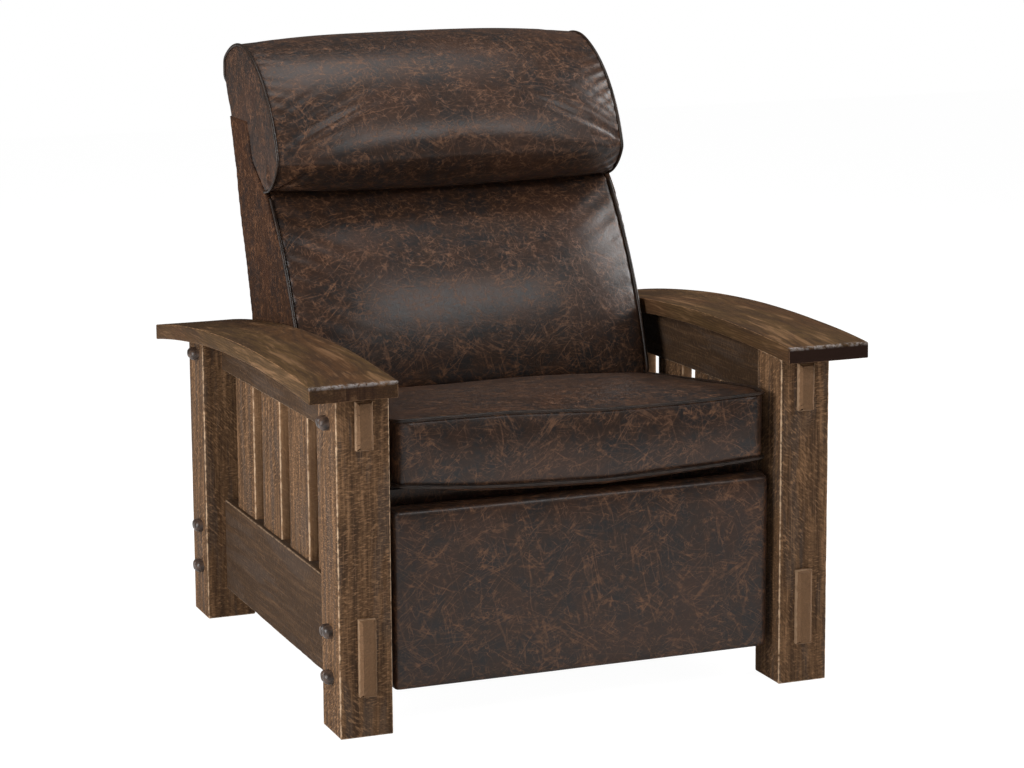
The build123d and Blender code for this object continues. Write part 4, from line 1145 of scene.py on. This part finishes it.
class MESH_OT_recliner_seat(bpy.types.Operator):
    """Builds the boxed seat cushion and its welts."""

    bl_idname = "mesh.recliner_seat"
    bl_label = "Seat"

    corner: length_setting("Corner", "Rounding of the boxing's corners", 16)
    crown: length_setting("Crown", "Fullness of the top", 14)
    lip: length_setting("Lip", "How far the front sags under its seam", 14)
    draw: length_setting("Draw", "How far the boxing swells at its middle", 4.5)

    def execute(self, context):
        leather = context.scene.recliner_leather
        low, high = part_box("seat_cushion")
        self.half = high.x + SEAT_WIDER
        self.front = low.y + SEAT_SETBACK
        self.rear = high.y - SEAT_REAR_GAP
        piece = block(
            "seat_cushion_leather", (-self.half, self.front, 0), (self.half, self.rear, SEAT_DEPTH)
        )
        bevel_edges(piece, lambda a, b: abs(a.z - b.z) > NEAR, self.corner, 3)
        even_out(piece, leather.voxel)
        flat = points_of(piece)
        rings = [self.ring(height) for height in (SEAT_DEPTH, 0)]
        held = np.minimum(*[near_line(flat, [*ring, ring[0]])[0] for ring in rings]) < HELD_REACH
        under = (flat[:, 2] < 2 * MM) & (flat[:, 1] > self.front + 60 * MM)
        move_points(piece, self.shaped(flat))
        fill_cushion(piece, held | under, leather.pressure * 3, leather.swell_cap * 0.4)
        self.tug(piece, flat)
        subdivide_once(piece)
        upholster(piece, "carriage", "seat_cushion")
        for name, ring in zip(("seat_top_welt", "seat_bottom_welt"), rings):
            ring = np.array(ring)
            line = self.shaped(ring)
            at_side = np.abs(line[:, 0]) > self.half - self.corner
            line[:, 0] += np.sign(ring[:, 0]) * WELT_PROUD * at_side
            line[:, 1] -= WELT_PROUD * (ring[:, 1] < self.front + self.corner)
            welt(name, line, leather.welt_radius, "carriage", closed=True)
        return {"FINISHED"}

    def shaped(self, flat):
        """The places of a boxed cushion's points from those of a plain block."""
        x = flat[:, 0]
        across = np.abs(x) / self.half
        from_front = flat[:, 1] - self.front
        back = np.clip(from_front / (self.rear - self.front), 0, 1)
        lift = flat[:, 2] / SEAT_DEPTH
        low = SEAT_UNDER + 8 * MM * across**2
        high = (SEAT_FRONT_TOP + 7 * MM * across**2) * (1 - back) + SEAT_REAR_TOP * back
        full = np.clip(1 - across**2.4, 0, 1) * np.clip(1 - np.abs(2 * back - 1) ** 3, 0, 1) ** 0.8
        shaped = flat.copy()
        shaped[:, 2] = low + (high - low) * lift + self.crown * full * smooth_share(lift, 0.9, 1)
        at_front = 1 - smooth_share(from_front, 18 * MM, 50 * MM)
        (top_x, top_z), (low_x, low_z) = [np.array(seam).T * MM for seam in (TOP_SEAM, LOW_SEAM)]
        seams = np.interp(x, top_x, top_z) * lift + np.interp(x, low_x, low_z) * (1 - lift)
        shaped[:, 2] += at_front * seams
        hang = np.exp(-(((from_front - 20 * MM) / (15 * MM)) ** 2)) * np.clip(1 - across**6, 0, 1)
        shaped[:, 2] -= self.lip * hang * (1 - smooth_share(lift, 0, 0.06))
        middle = np.sin(np.clip(lift, 0, 1) * math.pi)
        forward = np.clip(1 - across**4, 0, 1) * (1 - smooth_share(back, 0, 0.04))
        shaped[:, 1] -= self.draw * middle * forward
        sideways = smooth_share(across, 0.97, 1.0) * np.clip(1 - np.abs(2 * back - 1) ** 4, 0, 1)
        shaped[:, 0] += np.sign(x) * 3 * MM * middle * sideways
        return shaped

    def tug(self, piece, flat):
        """Small pulls in the boxing near its front corners."""
        pulls = noises(flat, 12.0, 5) * 1.2 * MM
        for side, start, end, depth in (
            (1, (4, 8), (46, 34), 2.2), (1, (4, 102), (40, 84), 1.6), (-1, (3, 108), (30, 86), 2.0)
        ):
            pulls += crease(self.half - side * flat[:, 0], flat[:, 2], start, end, 4, depth)
        swell(piece, pulls * (1 - smooth_share(flat[:, 1], self.front, self.front + 12 * MM)))
        upper = smooth_share(flat[:, 2], 0.97 * SEAT_DEPTH, SEAT_DEPTH)
        swell(piece, upper * noises(flat, 7.0, 8) * 2.0 * MM)

    def ring(self, height):
        """The seam's ring round the plain block at a height."""
        right, front, rear = self.half - self.corner, self.front + self.corner, self.rear - self.corner
        places = []
        for x, y, start in ((right, front, -90), (right, rear, 0), (-right, rear, 90), (-right, front, 180)):
            for step in range(4):
                angle = math.radians(start + step * 30)
                places.append((x + self.corner * math.cos(angle), y + self.corner * math.sin(angle)))
        dense = []
        for (ax, ay), (bx, by) in zip(places, places[1:] + places[:1]):
            count = max(1, round(math.hypot(bx - ax, by - ay) / (30 * MM)))
            for step in range(count):
                dense.append((ax + (bx - ax) * step / count, ay + (by - ay) * step / count, height))
        return dense


class MESH_OT_recliner_back(bpy.types.Operator):
    """Builds the back cushion, its welts and the leather sides."""

    bl_idname = "mesh.recliner_back"
    bl_label = "Back"

    fold_pitch: length_setting("Fold pitch", "Distance between the folds along the side seams", 31)
    cover_raise: length_setting("Cover raise", "How far the side covers rise under the headrest", 24)

    def execute(self, context):
        leather = context.scene.recliner_leather
        self.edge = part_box("back_cushion")[1].x
        front, rear = self.side_line(), self.rear_line()
        self.cushion(front, leather)
        for side, sign in SIDES:
            places = [(sign * (self.edge + 4.0 * MM), y - 1.0 * MM, z) for y, z in front]
            places.insert(0, (sign * (self.edge + 3.0 * MM), front[0][0] + 14 * MM, front[0][1] - 16 * MM))
            welt(f"{side}_back_welt", places, leather.welt_radius * 1.08, "back")
        for side, sign in SIDES:
            self.side_cover(f"{side}_side_cover", sign)
        self.outside_back(rear)
        for side, sign in SIDES:
            places = [(sign * (self.edge + 1.5 * MM), y + 1.5 * MM, z) for y, z in rear]
            welt(f"{side}_rear_welt", places, leather.welt_radius, "back")
        return {"FINISHED"}

    def cushion(self, line, leather):
        """The back cushion, filled between its side seams and pulled into folds."""
        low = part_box("back_cushion")[0]
        piece = node_copy("back_cushion_leather", "back_cushion", leather.voxel)
        flat = points_of(piece)
        ahead = np.interp(flat[:, 2], [z for _, z in line], [y for y, _ in line]) - flat[:, 1]
        facing = smooth_share(ahead, -26 * MM, -8 * MM)
        from_edge = self.edge - np.abs(flat[:, 0])
        seams = [[(sign * self.edge, y, z) for y, z in line] for _, sign in SIDES]
        near = np.minimum(*[near_line(flat, seam)[0] for seam in seams])
        held = (near < HELD_REACH) | ((from_edge < FLANK) & (facing < 0.5)) | (ahead < -60 * MM)
        fill_cushion(piece, held, leather.pressure * 1.5, leather.swell_cap * 0.4)
        shaped = points_of(piece)
        low_share = 1 - smooth_share(flat[:, 2], low.z, low.z + 60 * MM)
        shaped[:, 2] -= low_share * facing * 10 * MM
        shaped[:, 0] += np.sign(flat[:, 0]) * 3.0 * MM * (1 - smooth_share(from_edge, 0, 30 * MM)) * facing
        move_points(piece, shaped)
        swell(piece, self.folds(flat, from_edge) * facing)
        subdivide_once(piece)
        upholster(piece, "back", "back_cushion")

    def side_cover(self, node, sign):
        """A side's leather, puffed a little and raised to meet the headrest."""
        cover = node_copy(f"{node}_leather", node, 4 * MM)
        relax(cover, 2)
        places = points_of(cover)
        outer = np.abs(places[:, 0]) > self.edge + 3.5 * MM
        flush = smooth_share(places[:, 2], *COVERS_FLUSH) * 4.0 * MM + 1.0 * MM
        puff = noises(places, 9.0, 12 + sign) * 1.2 * MM
        raised = smooth_share(places[:, 2], *COVERS_RISE)
        places[:, 2] += raised * self.cover_raise
        places[:, 1] += raised * 7 * MM
        places[:, 0] += sign * outer * (flush + puff)
        move_points(cover, places)
        bpy.ops.object.shade_smooth()
        settle(cover, "back", "red_leather", "leather", node)

    def rear_line(self):
        """The profile of the outside back, carried on up to the headrest."""
        points = points_of(frame["nodes"]["rear_cover"])
        heights = sorted(set(np.round(points[:, 2], 4)))
        line = [(points[np.abs(points[:, 2] - height) < NEAR, 1].max(), height) for height in heights]
        line.append((line[-1][0] + 7 * MM, line[-1][1] + 24 * MM))
        return line

    def outside_back(self, line):
        """A softly crowned leather panel closing the rear."""
        panel = block("rear_cover_leather", (-self.edge, 0, 0), (self.edge, 1, 1))
        bpy.ops.object.mode_set(mode="EDIT")
        bpy.ops.mesh.select_all(action="SELECT")
        bpy.ops.mesh.subdivide(number_cuts=40)
        bpy.ops.object.mode_set(mode="OBJECT")
        flat = points_of(panel)
        places = flat.copy()
        places[:, 2] = line[0][1] + flat[:, 2] * (line[-1][1] - line[0][1])
        across = np.clip(1 - (flat[:, 0] / self.edge) ** 4, 0, 1)
        upward = np.clip(1 - (2 * flat[:, 2] - 1) ** 4, 0, 1)
        crown = across * upward * (7 * MM + noises(places, 6.0, 20) * 3 * MM)
        outer = np.interp(places[:, 2], [z for _, z in line], [y for y, _ in line])
        places[:, 1] = outer - 4 * MM * (1 - flat[:, 1]) + crown * flat[:, 1]
        move_points(panel, places)
        bpy.ops.object.shade_smooth_by_angle(angle=math.radians(50))
        settle(panel, "back", "leather", "leather", "rear_cover")

    def folds(self, flat, from_edge):
        """Pull folds that fan inwards from the side seams, and the loose lie of the leather."""
        up = flat[:, 2]
        wander = noises(flat, 14.0, 3) * 0.8
        wave = np.cos((up + from_edge * 0.42) / self.fold_pitch * 2 * math.pi + wander)
        reach = np.exp(-from_edge / (52 * MM)) * smooth_share(from_edge, 0, 10 * MM)
        strength = np.where(flat[:, 0] < 0, 2.3, 1.1) * MM * (0.75 + 0.5 * noises(flat, 10.0, 4))
        strong = smooth_share(up, *FOLDS_BEGIN) * (1 - smooth_share(up, *FOLDS_END))
        sag = noises(flat * np.array([0.7, 1.0, 1.4]), 6.0, 6) * smooth_share(from_edge, 10 * MM, 90 * MM)
        return wave * reach * strength * (0.35 + 0.65 * strong) + sag * 2.2 * MM

    def side_line(self):
        """The seam between the back cushion's front and its sides."""
        places = [back_place(shares) for shares in BACK_FRONT_SHARES]
        first, last = places[0], places[-1]
        chord = last - first
        lean = math.atan2(chord.y, chord.z)
        middle = (first + last) / 2
        bulge = (middle.y - BACK_BULGE * math.cos(lean), middle.z + BACK_BULGE * math.sin(lean))
        return arc_places(first.yz, bulge, last.yz, 16)


class MESH_OT_recliner_headrest(bpy.types.Operator):
    """Builds the headrest roll and its end welts."""

    bl_idname = "mesh.recliner_headrest"
    bl_label = "Headrest"

    crown: length_setting("Crown", "Extra fullness of the top", 9)
    draw: length_setting("Draw", "How far the cover draws the right end in", 9)

    def execute(self, context):
        leather = context.scene.recliner_leather
        self.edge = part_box("headrest_roll")[1].x
        piece = node_copy("headrest_leather", "headrest_roll", leather.voxel)
        flat = points_of(piece)
        line = self.end_line()
        from_edge = self.edge - np.abs(flat[:, 0])
        seam = [(0, y, z) for y, z in line]
        off_seam, along = near_line(flat * np.array([0.0, 1.0, 1.0]), seam)
        held = (from_edge < FLANK) | (off_seam > 55 * MM)
        fill_cushion(piece, held, leather.pressure * 1.5, leather.swell_cap * 0.35)
        outer = 1 - smooth_share(off_seam, 20 * MM, 50 * MM)
        middle = np.clip(1 - (np.abs(flat[:, 0]) / self.edge) ** 2.4, 0, 1)
        topward = smooth_share(flat[:, 2], *ROLL_FULL)
        heights = outer * middle * self.crown * (0.25 + 0.75 * topward)
        heights += outer * self.folds(flat, from_edge, along)
        swell(piece, heights)
        places = points_of(piece)
        places[:, 0] = self.drawn_in(places[:, 0])
        move_points(piece, places)
        subdivide_once(piece)
        upholster(piece, "back", "headrest_roll")
        for side, sign in SIDES:
            x = self.drawn_in(np.array([sign * (self.edge - 0.5 * MM)]))[0]
            places = [(x, y, z) for y, z in line[:-5]]
            y, z = line[-5]
            places.append((x - sign * 5 * MM, y - 4 * MM, z))
            welt(f"{side}_headrest_welt", places, leather.welt_radius, "back")
        return {"FINISHED"}

    def drawn_in(self, x):
        """Places across the roll, with its right end drawn in by the cover."""
        return np.where(x > 0, x * (1 - self.draw / self.edge), x)

    def folds(self, flat, from_edge, along):
        """Deep folds at the lower left corner, short ones along the end seams."""
        deep = sum(crease(from_edge, along, *fold) for fold in DEEP_FOLDS)
        shallow = crease(from_edge, along, *SHALLOW_FOLD)
        wave = np.cos((along + from_edge * 0.5) / (24 * MM) * 2 * math.pi + noises(flat, 16.0, 7))
        rows = wave * np.exp(-from_edge / (26 * MM)) * smooth_share(from_edge, 0, 8 * MM) * 1.3 * MM
        lie = noises(flat * np.array([0.6, 1.0, 1.0]), 7.0, 9) * smooth_share(from_edge, 10 * MM, 80 * MM)
        return np.where(flat[:, 0] < 0, deep + rows * 0.6, shallow + rows) + lie * 1.8 * MM

    def end_line(self):
        """The seam round the front of the headrest's ends."""
        line = []
        for *shares, count in END_ARCS:
            arc = arc_places(*[back_place(share).yz for share in shares], count)
            line += arc[1:] if line else arc
        return line


class MESH_OT_recliner_footrest(bpy.types.Operator):
    """Builds the padded leather footrest panel."""

    bl_idname = "mesh.recliner_footrest"
    bl_label = "Footrest"

    crown: length_setting("Crown", "Fullness of the panel's face", 4)
    top_round: length_setting("Top round", "Rounding of the panel's top front edge", 24)
    side_round: length_setting("Side round", "Rounding of the panel's side edges", 17)

    def execute(self, context):
        low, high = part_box("footrest_pad")
        front = low.y + self.crown
        piece = block("footrest_leather", (low.x, front, low.z), (high.x, high.y - 1.5 * MM, high.z))

        def top(a, b):
            return all(p.y < front + NEAR and p.z > high.z - NEAR for p in (a, b))

        def side(a, b):
            return all(p.y < front + NEAR and abs(p.x) > high.x - NEAR for p in (a, b))

        bevel_edges(piece, top, self.top_round, 6)
        bevel_edges(piece, side, self.side_round, 5)
        ease_sharp_edges(6 * MM, 3)
        even_out(piece, 5 * MM)
        relax(piece, 6)
        points = points_of(piece)
        across = np.clip(1 - (points[:, 0] / high.x) ** 2, 0, 1)
        upward = 1 - ((points[:, 2] - (low.z + high.z) / 2) / ((high.z - low.z) / 2)) ** 2
        facing = 1 - smooth_share(points[:, 1], front, front + 20 * MM)
        points[:, 1] -= facing * self.crown * across**0.6 * np.clip(upward, 0, 1) ** 0.6
        points[:, 1] += facing * noises(points, 8.0, 3) * 1.0 * MM
        move_points(piece, points)
        upholster(piece, "footrest", "footrest_pad")
        return {"FINISHED"}


# Lamps, by name, place and size, and the shares in which the floor shows white
LAMPS = (
    ("left", (-3.2, -0.6, 1.5), (1.7, 2.4)),
    ("right", (3.2, -0.1, 2.1), (1.0, 2.2)),
    ("front", (1.05, -2.7, 2.6), (1.0, 0.8)),
    ("low", (-0.7, -2.3, 0.6), (0.4, 1.0)),
    ("top", (0.0, 0.3, 3.2), (1.6, 1.6)),
)
LAMP_TARGET = Vector((0, 0, 0.5))
FLOOR_WHITE = 0.84
FLOOR_STRENGTH = 1.16
MIRRORED_WHITE = 0.1

# Camera of the photograph
FOCAL_PIXELS = 2970.718
IMAGE_WIDTH = 1024
AXIS_RAISE_PIXELS = 60
CAMERA_PLACE = (-1844.7 * MM, -4762.2 * MM, 1490.7 * MM)
CAMERA_YAW = 0.377
CAMERA_PITCH = -0.1787
CAMERA_ROLL = -0.0062


class SCENE_OT_recliner_studio(bpy.types.Operator):
    """Builds the floor, the lamps and the camera."""

    bl_idname = "scene.recliner_studio"
    bl_label = "Studio"

    def execute(self, context):
        self.floor()
        self.lamps(context.scene.recliner_studio)
        self.camera(context.scene)
        context.scene.view_settings.view_transform = "Standard"
        return {"FINISHED"}

    def floor(self):
        """The floor that carries the chair's shadows."""
        bpy.ops.object.select_all(action="DESELECT")
        bpy.ops.mesh.primitive_plane_add(size=16, location=(0, 0, -0.3 * MM))
        floor = bpy.context.object
        floor.name = "studio_floor"
        bpy.ops.object.transform_apply(location=True, rotation=True, scale=True)
        finish = Finish("studio_floor", Roughness=0.9, Specular_IOR_Level=0.1, Base_Color=(0.88, 0.88, 0.88))
        self.whiten(finish)
        floor.data.materials.append(finish.material)

    def whiten(self, finish):
        """Shows the floor nearly white to the camera, and a little to reflections, under faint shadows."""
        glossy, through, camera = [
            finish.add("LightPath", None, None, f"Is {kind} Ray")
            for kind in ("Glossy", "Transmission", "Camera")
        ]
        seen = camera.most(glossy.most(through) * MIRRORED_WHITE) * FLOOR_WHITE
        white = finish.add("Emission", None, {"Strength": FLOOR_STRENGTH})
        plain = Signal(finish, finish.shader.outputs[0])
        mixed = finish.add("MixShader", None, {0: seen, 1: plain, 2: white})
        finish.feed(finish.tree.nodes["Material Output"].inputs["Surface"], mixed)

    def lamps(self, studio):
        """The white surroundings and the area lamps."""
        world = bpy.context.scene.world or bpy.data.worlds.new("studio")
        bpy.context.scene.world = world
        world.use_nodes = True
        nodes = Nodes(world.node_tree)
        nodes.tree.nodes.clear()
        soft = nodes.add("Background", None, {"Color": (1, 1, 1), "Strength": studio.world})
        white = nodes.add("Background", None, {"Color": (1, 1, 1), "Strength": 1.0})
        seen = nodes.add("LightPath", None, None, "Is Camera Ray")
        mixed = nodes.add("MixShader", None, {0: seen, 1: soft, 2: white})
        nodes.add("OutputWorld", None, {"Surface": mixed})
        for name, place, size in LAMPS:
            bpy.ops.object.select_all(action="DESELECT")
            bpy.ops.object.light_add(type="AREA", location=place)
            lamp = bpy.context.object
            lamp.name = f"{name}_lamp"
            lamp.visible_camera = False
            lamp.data.shape = "RECTANGLE"
            lamp.data.size, lamp.data.size_y = size
            lamp.data.energy = getattr(studio, name)
            lamp.rotation_euler = (LAMP_TARGET - Vector(place)).to_track_quat("-Z", "Y").to_euler()

    def camera(self, scene):
        """The camera, as fitted to the photograph."""
        data = bpy.data.cameras.new("photo_camera")
        camera = bpy.data.objects.new("photo_camera", data)
        scene.collection.objects.link(camera)
        yaw, pitch, roll = CAMERA_YAW, CAMERA_PITCH, CAMERA_ROLL
        ahead = Vector((math.sin(yaw) * math.cos(pitch), math.cos(yaw) * math.cos(pitch), math.sin(pitch)))
        level = Vector((math.cos(yaw), -math.sin(yaw), 0))
        above = level.cross(ahead)
        right = level * math.cos(roll) + above * math.sin(roll)
        up = above * math.cos(roll) - level * math.sin(roll)
        turn = Matrix((right, up, -ahead)).transposed()
        camera.matrix_world = Matrix.Translation(CAMERA_PLACE) @ turn.to_4x4()
        data.sensor_width = 36.0
        data.lens = FOCAL_PIXELS * data.sensor_width / IMAGE_WIDTH
        data.shift_y = -AXIS_RAISE_PIXELS / IMAGE_WIDTH
        data.clip_start, data.clip_end = 0.1, 60
        scene.camera = camera


STEPS = (
    SCENE_OT_recliner_studio,
    MESH_OT_recliner_finishes,
    MESH_OT_recliner_hardware,
    MESH_OT_recliner_posts,
    MESH_OT_recliner_rails,
    MESH_OT_recliner_slats,
    MESH_OT_recliner_arms,
    MESH_OT_recliner_pegs,
    MESH_OT_recliner_seat,
    MESH_OT_recliner_back,
    MESH_OT_recliner_headrest,
    MESH_OT_recliner_footrest,
)


class VIEW3D_PT_recliner(bpy.types.Panel):
    """Lists the steps that build the chair."""

    bl_label = "Recliner"
    bl_idname = "VIEW3D_PT_recliner"
    bl_space_type = "VIEW_3D"
    bl_region_type = "UI"
    bl_category = "Recliner"

    def draw(self, context):
        for step in STEPS:
            self.layout.operator(step.bl_idname)
        for kind in SETTINGS:
            settings = getattr(context.scene, kind)
            for name in settings.__annotations__:
                self.layout.prop(settings, name)


SETTINGS = {
    "recliner_timber": TimberSettings,
    "recliner_leather": LeatherSettings,
    "recliner_studio": StudioSettings,
}


def register():
    for kind in (*SETTINGS.values(), *STEPS, VIEW3D_PT_recliner):
        bpy.utils.register_class(kind)
    for name, kind in SETTINGS.items():
        setattr(bpy.types.Scene, name, bpy.props.PointerProperty(type=kind))


def unregister():
    for name in SETTINGS:
        delattr(bpy.types.Scene, name)
    for kind in (VIEW3D_PT_recliner, *reversed(STEPS), *reversed(list(SETTINGS.values()))):
        bpy.utils.unregister_class(kind)


def main():
    register()
    for step in STEPS:
        group, name = step.bl_idname.split(".")
        getattr(getattr(bpy.ops, group), name)()
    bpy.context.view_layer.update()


if __name__ == "__main__":
    main()
